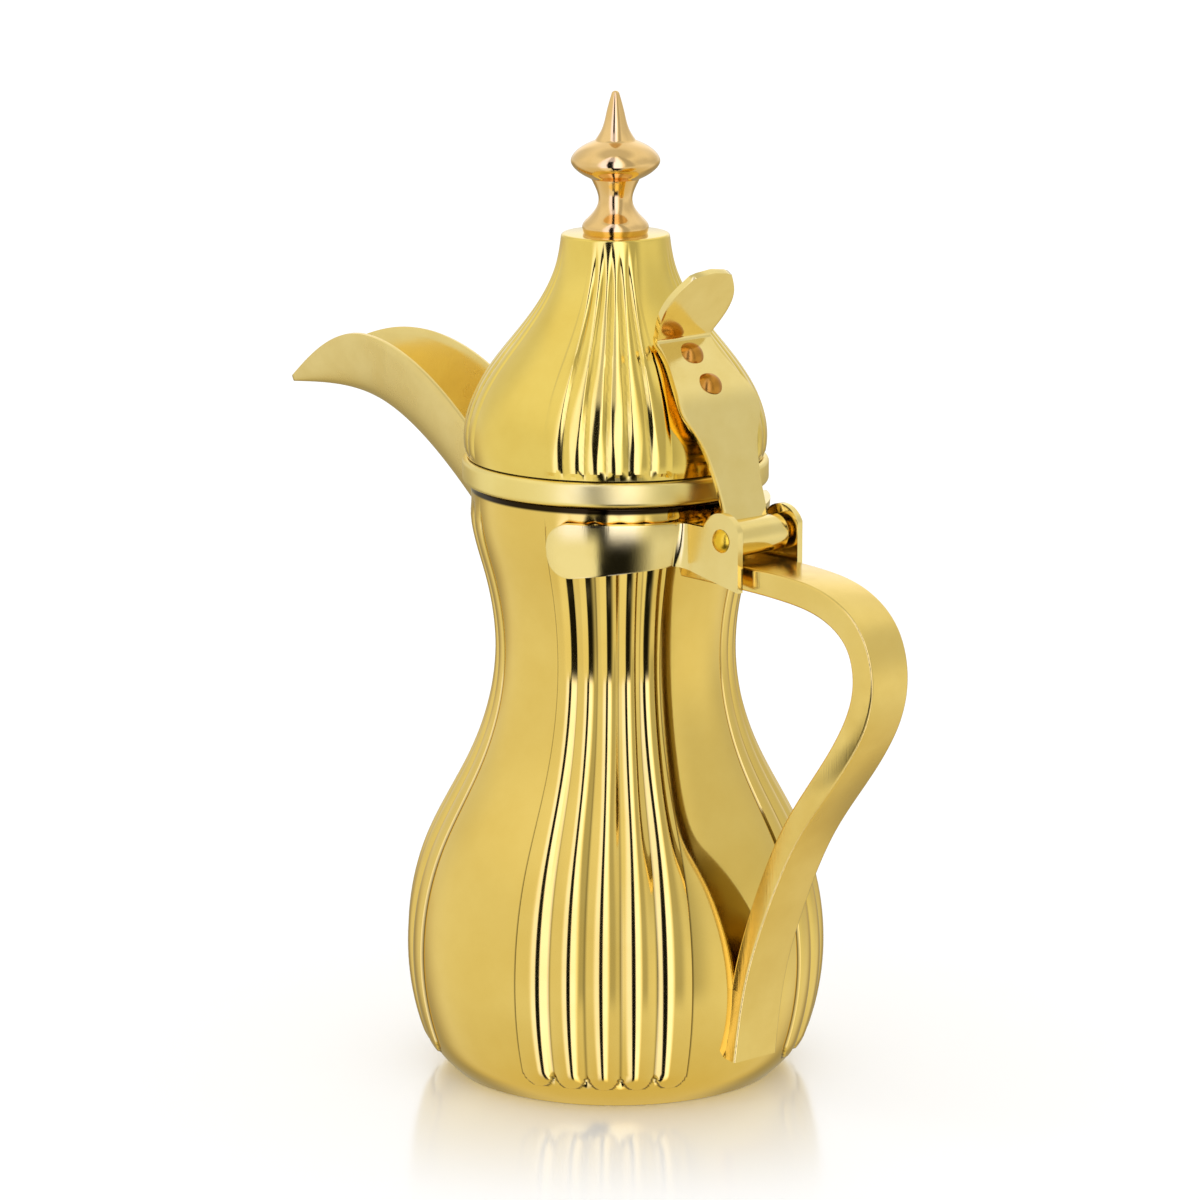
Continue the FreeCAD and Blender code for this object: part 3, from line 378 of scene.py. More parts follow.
def sheet_piece(name, columns, rows, place):
    """A grid laid on a surface. place gives the point for two shares from 0 to 1."""
    settle()
    bpy.ops.mesh.primitive_grid_add(
        x_subdivisions=columns, y_subdivisions=rows, size=2.0, location=ORIGIN)
    piece = new_piece(name)
    bpy.ops.object.mode_set(mode="OBJECT")
    for vertex in piece.data.vertices:
        vertex.co = place(0.5 + 0.5 * vertex.co.x, 0.5 + 0.5 * vertex.co.y)
    return piece


def modify(piece, kind, **settings):
    """Adds a modifier and applies it."""
    pick(piece)
    bpy.ops.object.modifier_add(type=kind)
    modifier = piece.modifiers[-1]
    for key, value in settings.items():
        setattr(modifier, key, value)
    bpy.ops.object.modifier_apply(modifier=modifier.name)


def thicken(piece, thickness, offset):
    """Gives a sheet its thickness."""
    modify(piece, "SOLIDIFY", thickness=thickness, offset=offset, use_even_offset=True)


def soften(piece, width, segments, degrees):
    """Rounds the edges that bend by more than an angle."""
    modify(piece, "BEVEL", width=width, segments=segments, limit_method="ANGLE",
           angle_limit=math.radians(degrees))


def cut(piece, tool):
    """Takes a tool's shape out of a piece and deletes the tool."""
    modify(piece, "BOOLEAN", operation="DIFFERENCE", object=tool, solver="EXACT")
    bpy.data.objects.remove(tool, do_unlink=True)


def join(pieces):
    """Makes one piece of several."""
    pick(*pieces)
    bpy.ops.object.join()
    return pieces[0]


def fit(piece, body, nodes, material, crease):
    """Smooths a piece under a crease angle, gives it its finish and puts it in its solids' place."""
    pick(piece)
    bpy.ops.object.shade_smooth_by_angle(angle=math.radians(crease))
    piece.data.materials.clear()
    piece.data.materials.append(finish(material))
    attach(piece, body)
    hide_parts(*nodes)
    if len(piece.data.polygons) < 8:
        raise RuntimeError(piece.name + " has lost its faces")


def flowing(stations, gap):
    """Points about a gap apart on the smooth line through some stations."""
    knots = np.array([tuple(point) for point in stations], dtype=float)
    steps = np.linalg.norm(np.diff(knots, axis=0), axis=1)
    along = np.concatenate(([0.0], np.cumsum(steps)))
    size = len(knots)
    matrix = np.identity(size)
    right = np.zeros_like(knots)
    for row in range(1, size - 1):
        before, after = steps[row - 1], steps[row]
        matrix[row, row - 1:row + 2] = before, 2.0 * (before + after), after
        right[row] = 6.0 * (
            (knots[row + 1] - knots[row]) / after - (knots[row] - knots[row - 1]) / before)
    bends = np.linalg.solve(matrix, right)
    places = np.linspace(0.0, along[-1], max(2, round(along[-1] / gap) + 1))
    span = np.clip(np.searchsorted(along, places, side="right") - 1, 0, size - 2)
    width = steps[span][:, None]
    late = (places - along[span])[:, None] / width
    early = 1.0 - late
    return (
        early * knots[span] + late * knots[span + 1]
        + width ** 2 / 6.0 * ((early ** 3 - early) * bends[span] + (late ** 3 - late) * bends[span + 1]))


def directions(line):
    """The unit direction at each point of a line."""
    ahead = np.gradient(line, axis=0)
    return ahead / np.linalg.norm(ahead, axis=1)[:, None]


def inset(outline, depth):
    """An outline moved to its left by a depth."""
    along = directions(outline)
    return outline + depth * np.column_stack((-along[:, 1], along[:, 0]))


def rounded_corner(before, corner, after, radius, steps):
    """Points of an arc that rounds a corner between two straight lines."""
    corner = Vector(corner)
    toward = (Vector(before) - corner).normalized()
    away = (Vector(after) - corner).normalized()
    half = toward.angle(away) / 2.0
    run = radius / math.tan(half)
    centre = corner + (toward + away).normalized() * (radius / math.sin(half))
    first = corner + toward * run - centre
    last = corner + away * run - centre
    sweep = first.angle(last)
    points = []
    for step in range(steps + 1):
        share = step / steps
        point = (first * math.sin((1.0 - share) * sweep) + last * math.sin(share * sweep)) / math.sin(sweep)
        points.append(tuple(centre + point))
    return points


def rounded_loop(corners, radii, steps):
    """A closed outline whose corners are rounded, each by its own radius."""
    outline = []
    for number, (corner, radius) in enumerate(zip(corners, radii)):
        after = corners[(number + 1) % len(corners)]
        outline += rounded_corner(corners[number - 1], corner, after, radius, steps)
    return outline + outline[:1]


def dome_cap(radius, height, base, steps):
    """Outline of a low dome from its edge to its middle."""
    ball = (radius ** 2 + height ** 2) / (2.0 * height)
    widest = math.asin(radius / ball)
    return [
        (ball * math.sin(widest * (1.0 - step / steps)),
         base + height - ball + ball * math.cos(widest * (1.0 - step / steps)))
        for step in range(steps + 1)]


def smooth_share(value):
    """A share from 0 to 1 that starts and ends gently."""
    value = min(max(value, 0.0), 1.0)
    return value * value * (3.0 - 2.0 * value)


def reed_position(point, reeds, group):
    """Place across a reed, from -1 to 1, and whether a plain panel lies beyond it, or None."""
    degrees = math.degrees(math.atan2(point.y, point.x))
    for centre in GROUP_CENTRES:
        offset = (degrees - centre + 180.0) % 360.0 - 180.0
        if abs(offset) <= group / 2.0 + 0.001:
            pitch = group / reeds
            start = offset + group / 2.0
            index = min(int(start / pitch + 1e-6), reeds - 1)
            across = (start - pitch * index) / (pitch / 2.0) - 1.0
            outermost = (index == 0 and across < 0.0) or (index == reeds - 1 and across > 0.0)
            return across, outermost
    return None


def body_outline(sizes, gap):
    """The body's smooth outer outline from the floor to the rim."""
    return flowing(
        [sizes.floor, sizes.edge, sizes.hip, sizes.belly, sizes.shoulder,
         sizes.slope, sizes.waist, sizes.neck, sizes.flare, sizes.rim], gap)


def radius_at(outline, height):
    """Radius of an outline at a height."""
    return float(np.interp(height, outline[:, 1], outline[:, 0]))


def ridge_drop(across, rounding):
    """Drop of a reed's surface from its rounded crest, from 0 to 1 at its edge."""
    whole = math.hypot(1.0, rounding) - rounding
    return min(1.0, (math.hypot(across, rounding) - rounding) / whole)


def slot_tool(name, width, low, high, depth):
    """An upright slot with round ends, drawn out along -X from the middle."""
    radius = width / 2.0
    steps = 24
    points = []
    for centre, start in ((high - radius, 0.0), (low + radius, math.pi)):
        for step in range(steps + 1):
            turn = start + math.pi * step / steps
            points.append(Vector((0.0, radius * math.cos(turn), centre + radius * math.sin(turn))))
    piece = drawn_line(name, points + points[:1])
    bpy.ops.mesh.remove_doubles(threshold=MERGE_GAP)
    bpy.ops.mesh.edge_face_add()
    bpy.ops.mesh.extrude_region_move(TRANSFORM_OT_translate={"value": (-depth, 0.0, 0.0)})
    close_up()
    return piece


def painted_shade(piece, amounts):
    """Marks painted shade at each vertex, from 0 to 1: how far the colour is darkened where shade falls."""
    marks = piece.data.attributes.new("painted_shade", "FLOAT", "POINT")
    marks.data.foreach_set("value", amounts)


def raise_reeds(piece, sizes, outline, lowest, weights_of):
    """Pushes the reeds out of a turned wall and their valleys in, and marks painted shade in their creases.

    weights_of gives the weights of crest, valley and painted crease shade for a height and radius on the
    outer wall, a place across a reed and whether a plain panel lies beyond it.
    """
    group_angle = math.degrees(sizes.reed_group)
    crests = piece.vertex_groups.new(name="crests")
    valleys = piece.vertex_groups.new(name="valleys")
    creases = []
    for vertex in piece.data.vertices:
        point = vertex.co
        radius = math.hypot(point.x, point.y)
        on_reed = reed_position(point, sizes.reeds, group_angle)
        outer_wall = radius_at(outline, point.z) - sizes.wall * OUTER_SHARE
        crest, valley, crease = 0.0, 0.0, 0.0
        if on_reed and radius >= outer_wall and point.z >= lowest:
            crest, valley, crease = weights_of(point.z, radius, *on_reed)
        creases.append(crease)
        for group, weight in ((crests, crest), (valleys, valley)):
            if weight > 0.0:
                group.add([vertex.index], weight, "REPLACE")
    painted_shade(piece, creases)
    for name, strength in (("crests", sizes.reed_rise), ("valleys", -sizes.reed_sink)):
        modify(piece, "DISPLACE", strength=strength, mid_level=0.0, vertex_group=name, direction="NORMAL")
    piece.vertex_groups.clear()


class MESH_OT_pot_body(Operator):
    """Models the reeded body: a turned shell with four groups of rounded reeds"""

    bl_idname = "mesh.pot_body"
    bl_label = "Body"

    def execute(self, context):
        sizes = context.scene.pot_body
        fine = body_outline(sizes, 0.00045)
        below_tips, above_tips = 0.0012, 0.0008
        foot_low = sizes.reed_foot - below_tips
        foot_centre = sizes.reed_foot + sizes.reed_foot_length
        half_wall = sizes.wall / 2.0
        top = sizes.rim[1] - half_wall

        def keeps(number, height):
            if foot_low < height < foot_centre + above_tips:
                return True
            return number % (3 if height < foot_low else 6) == 0

        rows = [
            tuple(point) for number, point in enumerate(fine)
            if point[1] < top and keeps(number, point[1])]
        inner = inset(fine, sizes.wall)
        floor_top = sizes.recess + sizes.wall
        rim_steps = 6
        turn_over = [
            (sizes.rim[0] - half_wall + half_wall * math.cos(math.pi * step / rim_steps),
             top + half_wall * math.sin(math.pi * step / rim_steps)) for step in range(rim_steps + 1)]
        floor_margin, rim_margin, inner_stride = 0.001, 0.002, 20
        down = [
            tuple(point) for point in inner[::-inner_stride]
            if floor_top + floor_margin < point[1] < top - rim_margin]
        edge = 0.0002
        underside = [
            (sizes.ledge, sizes.recess), (sizes.ring, sizes.recess),
            (sizes.ring, edge), (sizes.ring + edge, 0.0)]
        inside = [
            (radius_at(inner, floor_top), floor_top), (sizes.ledge, floor_top), (sizes.ledge, sizes.recess)]
        piece = turned("body", underside + rows + turn_over + down + inside, 720)

        def weights(height, radius, across, outermost):
            edge_width, tip_blend, tip_from = 0.11, 0.4, 0.3
            crease_from, crease_to, deep, faint = 0.95, 1.07, 0.8, 0.55
            below = max(0.0, (foot_centre - height) / sizes.reed_foot_length)
            full = smooth_share((sizes.reed_end - height) / sizes.reed_fade) * radius / sizes.belly[0]
            away = math.hypot(across, below)
            step = smooth_share((1.0 - away) / edge_width)
            if not outermost:
                step = 1.0 - min(1.0, below / tip_blend) * (1.0 - step)
            ridge = 1.0 - ridge_drop(away, sizes.reed_crest)
            crest = ridge * (1.0 - sizes.reed_step) + step * sizes.reed_step
            valley = 0.0 if outermost else ridge_drop(across, sizes.reed_crest) * max(0.0, 1.0 - below)
            # Painted shade: a dark line round each reed's outline and rounded tip, fainter in the valleys
            # between reeds.
            dark = 0.0
            if crease_from < away < crease_to:
                dark = deep if outermost or below > tip_from else faint
            return crest * full, valley * full, dark * full

        raise_reeds(piece, sizes, fine, sizes.reed_foot, weights)
        reach = 0.06
        hole = slot_tool("pouring_hole_tool", sizes.hole_width, sizes.hole_low, sizes.hole_high, reach)
        cut(piece, hole)
        fit(piece, "pot", ["body_shell"], "mirror_gold", 16.0)
        return {"FINISHED"}


class MESH_OT_pot_lid_dome(Operator):
    """Models the lid's dome with reeds that fade out towards the top"""

    bl_idname = "mesh.pot_lid_dome"
    bl_label = "Lid Dome"

    def execute(self, context):
        sizes = context.scene.pot_lid
        edge = 0.001
        edge_steps = 5
        stud_hole = 0.00255
        shoulder = (sizes.top[0] + edge, sizes.top[1] - edge)
        fine = flowing([sizes.lip, sizes.bulge, sizes.crown, sizes.sweep, sizes.stem, shoulder], 0.0011)
        turns = [math.pi / 2.0 * step / edge_steps for step in range(1, edge_steps + 1)]
        corner = [
            (sizes.top[0] + edge * math.cos(turn), sizes.top[1] - edge + edge * math.sin(turn))
            for turn in turns]
        flat = [(stud_hole, sizes.top[1]), (stud_hole, sizes.top[1] - sizes.wall)]
        inner = inset(fine, sizes.wall)[::-4]
        under = [tuple(point) for point in inner if point[1] < sizes.top[1] - sizes.wall]
        foot = [(under[-1][0], sizes.lip[1]), tuple(fine[0])]
        outline = [tuple(point) for point in fine] + corner + flat + under + foot
        piece = turned("lid_dome_reeded", outline, 864)
        plain = sizes.lip[1] + sizes.reed_lip

        def weights(height, radius, across, outermost):
            gain_height, crease_from, faint = 0.03, 0.9, 0.2
            depth = radius / sizes.bulge[0] * smooth_share((sizes.reed_end - height) / sizes.reed_fade)
            depth *= smooth_share((height - plain) / sizes.reed_start)
            depth *= 1.0 + sizes.reed_gain * smooth_share((height - sizes.bulge[1]) / gain_height)
            crest = depth * (1.0 - across ** 2)
            if outermost:
                return crest, 0.0, 0.0
            # Painted shade in the valleys between the reeds, fading with the reeds' depth.
            dark = faint if abs(across) > crease_from else 0.0
            return crest, depth * across ** 2, dark * min(1.0, depth)

        raise_reeds(piece, sizes, fine, plain, weights)
        fit(piece, "lid", ["lid_dome"], "lid_mirror_gold", 16.0)
        return {"FINISHED"}


class MESH_OT_pot_lid_band(Operator):
    """Models the plain band under the dome, with its skirt inside the rim"""

    bl_idname = "mesh.pot_lid_band"
    bl_label = "Lid Band"

    def execute(self, context):
        sizes = context.scene.pot_lid
        body = context.scene.pot_body
        low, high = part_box("lid_rim_band")
        seat_gap, mouth_gap, skirt_wall, skirt_round = 0.0004, 0.0017, 0.0014, 0.0003
        seat = body.rim[1] + seat_gap
        outer = sizes.band_radius
        inner = body.rim[0] - body.wall - mouth_gap
        skirt = inner - skirt_wall
        corners = [
            (skirt, high[2]), (skirt, low[2]), (inner, low[2]), (inner, seat),
            (outer, seat), (outer, high[2])]
        radii = [skirt_round] * 4 + [sizes.band_round] * 2
        piece = turned("lid_band", rounded_loop(corners, radii, 6), 256)
        fit(piece, "lid", ["lid_rim_band"], "band_soft_gold", 22.0)
        return {"FINISHED"}


class MESH_OT_pot_finial(Operator):
    """Models the turned finial"""

    bl_idname = "mesh.pot_finial"
    bl_label = "Finial"

    def execute(self, context):
        sizes = context.scene.pot_lid
        seat = sizes.top[1]
        foot, neck, collar = sizes.finial_foot, sizes.finial_neck, sizes.finial_collar
        ball, spike, tip = sizes.finial_ball, sizes.finial_spike, sizes.finial_tip
        lower = flowing(
            [(foot[0] - 0.0004, seat), foot, (0.0078, foot[1] + 0.003), neck,
             (0.0065, collar[1] - 0.0014), collar], 0.0004)
        upper = flowing(
            [(collar[0] + 0.0001, collar[1] + 0.0002), (0.0114, ball[1] - 0.003), ball,
             (0.0117, ball[1] + 0.003), spike], 0.0004)
        point = flowing(
            [(spike[0] - 0.0004, spike[1] + 0.0002), (0.0042, spike[1] + 0.0033),
             (0.0026, spike[1] + 0.009), (0.0012, tip - 0.0009)], 0.0005)
        end = [(0.0010, tip - 0.00045), (0.0006, tip - 0.00012), (0.0, tip)]
        outline = [(0.0, seat)] + [tuple(spot) for part in (lower, upper, point) for spot in part] + end
        piece = turned("finial_turned", outline, 128)
        fit(piece, "lid", ["finial"], "finial_turned_brass", 30.0)
        return {"FINISHED"}


class MESH_OT_pot_spout(Operator):
    """Models the open beak as a bent sheet that ends on the neck"""

    bl_idname = "mesh.pot_spout"
    bl_label = "Spout"

    def execute(self, context):
        sizes = context.scene.pot_spout
        body = context.scene.pot_body
        lid = context.scene.pot_lid
        gap = 0.001
        end = (sizes.tip[0], sizes.tip[1] + sizes.tip_depth)
        keel = flowing([sizes.root, sizes.keel_low, sizes.keel_high, sizes.tip], gap)
        lips = flowing([sizes.lip_root, sizes.lip_low, sizes.lip_high, end], gap)
        outline = body_outline(body, gap)
        distances = (sizes.root[0], sizes.lip_high[0], sizes.tip[0])
        widths = np.polyfit(distances, (sizes.root_width, sizes.crest_width, sizes.tip_width), 2)
        lid_gap, solder_depth, behind_root = 0.0012, 0.0004, 0.012
        clear_of_lid = lid.band_radius + lid_gap
        under_lid = body.rim[1] - sizes.wall

        def on_sheet(across, distance):
            low = float(np.interp(distance, keel[:, 0], keel[:, 1]))
            high = float(np.interp(distance, lips[:, 0], lips[:, 1]))
            half = float(np.polyval(widths, distance)) / 2.0
            return half * across, low + (high - low) * abs(across) ** sizes.fullness

        def inside_pot(across, distance):
            side, height = on_sheet(across, max(distance, sizes.root[0]))
            wall = radius_at(outline, height) - solder_depth
            if height > under_lid:
                wall = clear_of_lid
            return math.hypot(distance, side) <= wall

        def root_of(across):
            step = 0.0002
            places = np.arange(sizes.root[0] - behind_root, clear_of_lid + step, step)
            return step + max(place for place in places if inside_pot(across, place))

        roots = {}

        def place(across_share, along_share):
            across = 2.0 * across_share - 1.0
            key = round(across, 6)
            if key not in roots:
                roots[key] = root_of(across)
            distance = roots[key] + (sizes.tip[0] - roots[key]) * along_share
            side, height = on_sheet(across, max(distance, sizes.root[0]))
            return Vector((-distance, side, height))

        piece = sheet_piece("spout_beak", 44, 90, place)
        thicken(piece, sizes.wall, 1.0)
        soften(piece, 0.0003, 2, 50.0)
        fit(piece, "pot", ["spout"], "spout_satin_gold", 35.0)
        return {"FINISHED"}


class MESH_OT_pot_handle(Operator):
    """Models the bar handle from a rounded section along its bent line"""

    bl_idname = "mesh.pot_handle"
    bl_label = "Handle"

    def execute(self, context):
        sizes = context.scene.pot_handle
        body = context.scene.pot_body
        top, reach, bend = sizes.top, sizes.reach, sizes.bend
        line = flowing(
            [(0.036, top), (0.060, top), (0.084, top - 0.0007), (0.1012, top - 0.004),
             (0.1116, bend + 0.0135), (reach, bend), (0.1087, bend - 0.0176), (0.0871, bend - 0.047),
             (0.0735, bend - 0.0735), (0.065, bend - 0.098), (0.061, sizes.foot)], 0.0016)
        ahead = directions(line)
        last = len(line) - 1
        corner_steps = 5
        bend_share = 0.45
        bars = [Vector(sizes.top_bar), Vector(sizes.bend_bar), Vector(sizes.foot_bar)]

        def section(share):
            if share < bend_share:
                return bars[0].lerp(bars[1], smooth_share(share / bend_share))
            return bars[1].lerp(bars[2], (share - bend_share) / (1.0 - bend_share))

        def ring(width, thickness):
            points = []
            for number, (one, two) in enumerate(((1, 1), (-1, 1), (-1, -1), (1, -1))):
                for step in range(corner_steps + 1):
                    turn = math.pi / 2.0 * (number + step / corner_steps)
                    points.append((
                        one * (width / 2.0 - sizes.rounding) + sizes.rounding * math.cos(turn),
                        two * (thickness / 2.0 - sizes.rounding) + sizes.rounding * math.sin(turn)))
            return points + points[:1]

        rings = [ring(*section(number / last)) for number in range(last + 1)]
        around = len(rings[0]) - 1

        def place(around_share, along_share):
            number = round(along_share * last)
            side, out = rings[number][round(around_share * around)]
            normal = (-ahead[number][1], ahead[number][0])
            return Vector((line[number][0] + normal[0] * out, side, line[number][1] + normal[1] * out))

        piece = sheet_piece("handle_bar", around, last, place)
        pick(piece)
        bpy.ops.object.mode_set(mode="EDIT")
        bpy.ops.mesh.select_all(action="SELECT")
        bpy.ops.mesh.remove_doubles(threshold=MERGE_GAP)
        bpy.ops.mesh.fill_holes(sides=0)
        close_up()

        # Painted shade on the bar's inner side, the side that faces the pot.
        inner_side_shade, edge_share = 0.7, 0.2

        def inner_side(point):
            gaps = line - (point.x, point.z)
            nearest = int(np.argmin((gaps ** 2).sum(axis=1)))
            inward = gaps[nearest] @ (-ahead[nearest][1], ahead[nearest][0])
            flat = section(nearest / last).y / 2.0 - edge_share * sizes.rounding
            return inner_side_shade if inward > flat else 0.0

        painted_shade(piece, [inner_side(vertex.co) for vertex in piece.data.vertices])
        core = [tuple(point) for point in body_outline(body, 0.002)]
        tool = turned("body_core_tool", [(0.0, core[0][1])] + core + [(0.0, core[-1][1])], 360)
        cut(piece, tool)
        fit(piece, "pot", ["handle"], "handle_brushed_gold", 35.0)
        return {"FINISHED"}


class MESH_OT_pot_brackets(Operator):
    """Models the two hinge brackets: a leaf round the neck bent out into an ear"""

    bl_idname = "mesh.pot_brackets"
    bl_label = "Hinge Brackets"

    def execute(self, context):
        sizes = context.scene.pot_hinge
        outline = body_outline(context.scene.pot_body, 0.001)
        bend_stretch, end_share = 1.6, 0.42
        half = sizes.sheet / 2.0
        ear_side = sizes.ear_gap / 2.0 + half
        stand = sizes.leaf_stand + half
        seat = radius_at(outline, sizes.leaf_top) + stand
        start_angle = math.asin(ear_side / seat)
        corner = seat * math.cos(start_angle)
        bend_from = corner + sizes.bend_radius
        bend_angle = start_angle + sizes.bend_radius / seat
        ear_run = sizes.ear_front - bend_from
        bend_run = sizes.bend_radius * bend_stretch
        leaf_from = ear_run + bend_run
        leaf_run = seat * (sizes.leaf_span - bend_angle)
        whole = leaf_from + leaf_run
        round_end = sizes.leaf_end * end_share

        def heights(run):
            low, top = sizes.leaf_top - sizes.leaf_root, sizes.leaf_top
            if run < leaf_from:
                away = abs(run - (sizes.ear_front - HINGE.x))
                if away < sizes.ear_radius:
                    top = max(top, HINGE.z + math.sqrt(sizes.ear_radius ** 2 - away ** 2))
                return sizes.ear_foot + (low - sizes.ear_foot) * min(1.0, run / leaf_from), top
            low -= (sizes.leaf_end - sizes.leaf_root) * (run - leaf_from) / leaf_run
            left = whole - run
            if left < round_end:
                pull = round_end - math.sqrt(max(0.0, round_end ** 2 - (round_end - left) ** 2))
                low, top = low + pull, top - pull
            return low, top

        for side, end in ((-1.0, "near"), (1.0, "far")):

            def place(along_share, up_share):
                run = along_share * whole
                low, top = heights(run)
                height = low + (top - low) * up_share
                radius = radius_at(outline, height) + stand
                if run < ear_run:
                    return Vector((sizes.ear_front - run, side * ear_side, height))
                if run > leaf_from:
                    turn = bend_angle + (run - leaf_from) / seat
                    return Vector((radius * math.cos(turn), side * radius * math.sin(turn), height))
                share = (run - ear_run) / bend_run
                first = Vector((bend_from, side * ear_side, height))
                middle = Vector((corner, side * ear_side, height))
                last = Vector((radius * math.cos(bend_angle), side * radius * math.sin(bend_angle), height))
                return first.lerp(middle, share).lerp(middle.lerp(last, share), share)

            piece = sheet_piece("bracket_" + end, 150, 24, place)
            thicken(piece, sizes.sheet, 0.0)
            bpy.ops.object.mode_set(mode="EDIT")
            close_up()
            soften(piece, 0.0003, 3, 55.0)
            fit(piece, "pot", ["hinge_bracket_" + end], "bracket_polished_gold", 35.0)
        return {"FINISHED"}


class MESH_OT_pot_pin(Operator):
    """Models the hinge pin with its two domed heads"""

    bl_idname = "mesh.pot_pin"
    bl_label = "Hinge Pin"

    def execute(self, context):
        sizes = context.scene.pot_hinge
        head_gap = 0.0001
        seat = sizes.ear_gap / 2.0 + sizes.sheet + head_gap
        head = dome_cap(sizes.pin_head / 2.0, sizes.pin_dome, seat, 8)
        near = [(radius, -along) for radius, along in reversed(head)]
        shank = sizes.pin / 2.0
        outline = near + [(shank, -seat), (shank, seat)] + head
        piece = turned("hinge_pin_headed", outline, 64, HINGE, SIDEWAYS, ACROSS)
        fit(piece, "pot", ["hinge_pin"], "pin_yellow_brass", 30.0)
        return {"FINISHED"}


def strap_line(sizes):
    """The strap's outer face from its knuckle to the thumb tab's end, with rounded bends."""
    root, bend, fold, end = (tuple(point) for point in (
        sizes.strap_root, sizes.strap_bend, sizes.strap_fold, sizes.strap_end))
    bend_radius, fold_radius, gap = 0.028, 0.0012, 0.0008
    corners = rounded_corner(root, bend, fold, bend_radius, 16)
    corners += rounded_corner(bend, fold, end, fold_radius, 8)
    points = [Vector(point) for point in [root] + corners + [end]]
    dense = [points[0]]
    for start, stop in zip(points, points[1:]):
        pieces = max(1, round((stop - start).length / gap))
        dense += [start.lerp(stop, step / pieces) for step in range(1, pieces + 1)]
    return dense


class MESH_OT_pot_strap(Operator):
    """Models the hinge strap: a rolled knuckle, a shaped leaf on the dome and a thumb tab"""

    bl_idname = "mesh.pot_strap"
    bl_label = "Hinge Strap"

    def execute(self, context):
        sizes = context.scene.pot_hinge
        line = strap_line(sizes)
        widest_tab, tab_rounding, narrowest = 0.013, 0.0075, 0.0004
        half_widths = flowing(
            [(0.160, 0.0094), (0.196, 0.0094), (0.2015, 0.011), (0.211, 0.015), (0.2175, 0.0135),
             (0.2285, 0.0105), (0.234, 0.0124), (0.2405, widest_tab), (0.2482, 0.0081)], 0.0005)
        top = sizes.strap_end[1]

        def half_width(height):
            width = float(np.interp(height, half_widths[:, 0], half_widths[:, 1]))
            if height > top - tab_rounding:
                share = (height - top + tab_rounding) / tab_rounding
                width = min(width, widest_tab * math.sqrt(max(0.0, 1.0 - share ** 2.2)))
            return max(width, narrowest)

        def place(across_share, along_share):
            spot = line[round(along_share * (len(line) - 1))]
            return Vector((spot.x, (2.0 * across_share - 1.0) * half_width(spot.y), spot.y))

        leaf = sheet_piece("hinge_strap_leaf", 20, len(line) - 1, place)
        thicken(leaf, sizes.sheet, -1.0)
        soften(leaf, 0.0004, 3, 55.0)
        outer = sizes.knuckle / 2.0
        bore_gap, edge = 0.00005, 0.0004
        bore = sizes.pin / 2.0 + bore_gap
        reach = sizes.ear_gap / 2.0 - sizes.knuckle_gap
        corners = [(bore, -reach), (outer, -reach), (outer, reach), (bore, reach)]
        outline = rounded_loop(corners, [edge] * 4, 4)
        knuckle = turned("hinge_strap_knuckle", outline, 96, HINGE, SIDEWAYS, ACROSS)
        piece = join([leaf, knuckle])
        fit(piece, "lid", ["hinge_strap"], "strap_polished_gold", 35.0)
        return {"FINISHED"}


class MESH_OT_pot_rivets(Operator):
    """Models the two rivets that hold the strap on the dome"""

    bl_idname = "mesh.pot_rivets"
    bl_label = "Strap Rivets"

    def execute(self, context):
        sizes = context.scene.pot_hinge
        fold = Vector((sizes.strap_fold[0], 0.0, sizes.strap_fold[1]))
        bend = Vector((sizes.strap_bend[0], 0.0, sizes.strap_bend[1]))
        down = (bend - fold).normalized()
        out = Vector((-down.z, 0.0, down.x))
        head = dome_cap(sizes.rivet_head / 2.0, sizes.rivet_dome, 0.0, 10)
        shank = sizes.rivet_shank / 2.0
        outline = [(0.0, -sizes.rivet_reach), (shank, -sizes.rivet_reach), (shank, 0.0)] + head
        pieces = []
        for number in range(2):
            seat = fold + down * (sizes.rivet_offset + sizes.rivet_spacing * number)
            pieces.append(turned("strap_rivet", outline, 48, seat, out, SIDEWAYS))
        piece = join(pieces)
        piece.name = "strap_rivet_pair"
        fit(piece, "lid", ["strap_rivets"], "rivet_red_brass", 30.0)
        return {"FINISHED"}


class MESH_OT_pot_fastening(Operator):
    """Finishes the base plate and the finial's stud, washer and nut, which keep their solids"""

    bl_idname = "mesh.pot_fastening"
    bl_label = "Plate and Fastening"

    def execute(self, context):
        finishes = {
            "base_plate": "spout_satin_gold",
            "finial_stud": "fastening_steel",
            "finial_washer": "fastening_steel",
            "finial_nut": "fastening_steel",
        }
        for node, name in finishes.items():
            solid = bpy.data.objects.get(node)
            if solid is None:
                raise RuntimeError("the frame has no node " + node)
            material = finish(name)
            if not solid.material_slots:
                solid.data.materials.append(material)
            for slot in solid.material_slots:
                slot.material = material
        return {"FINISHED"}


def in_radians(span):
    """A span in degrees as radians."""
    return tuple(math.radians(limit) for limit in span)


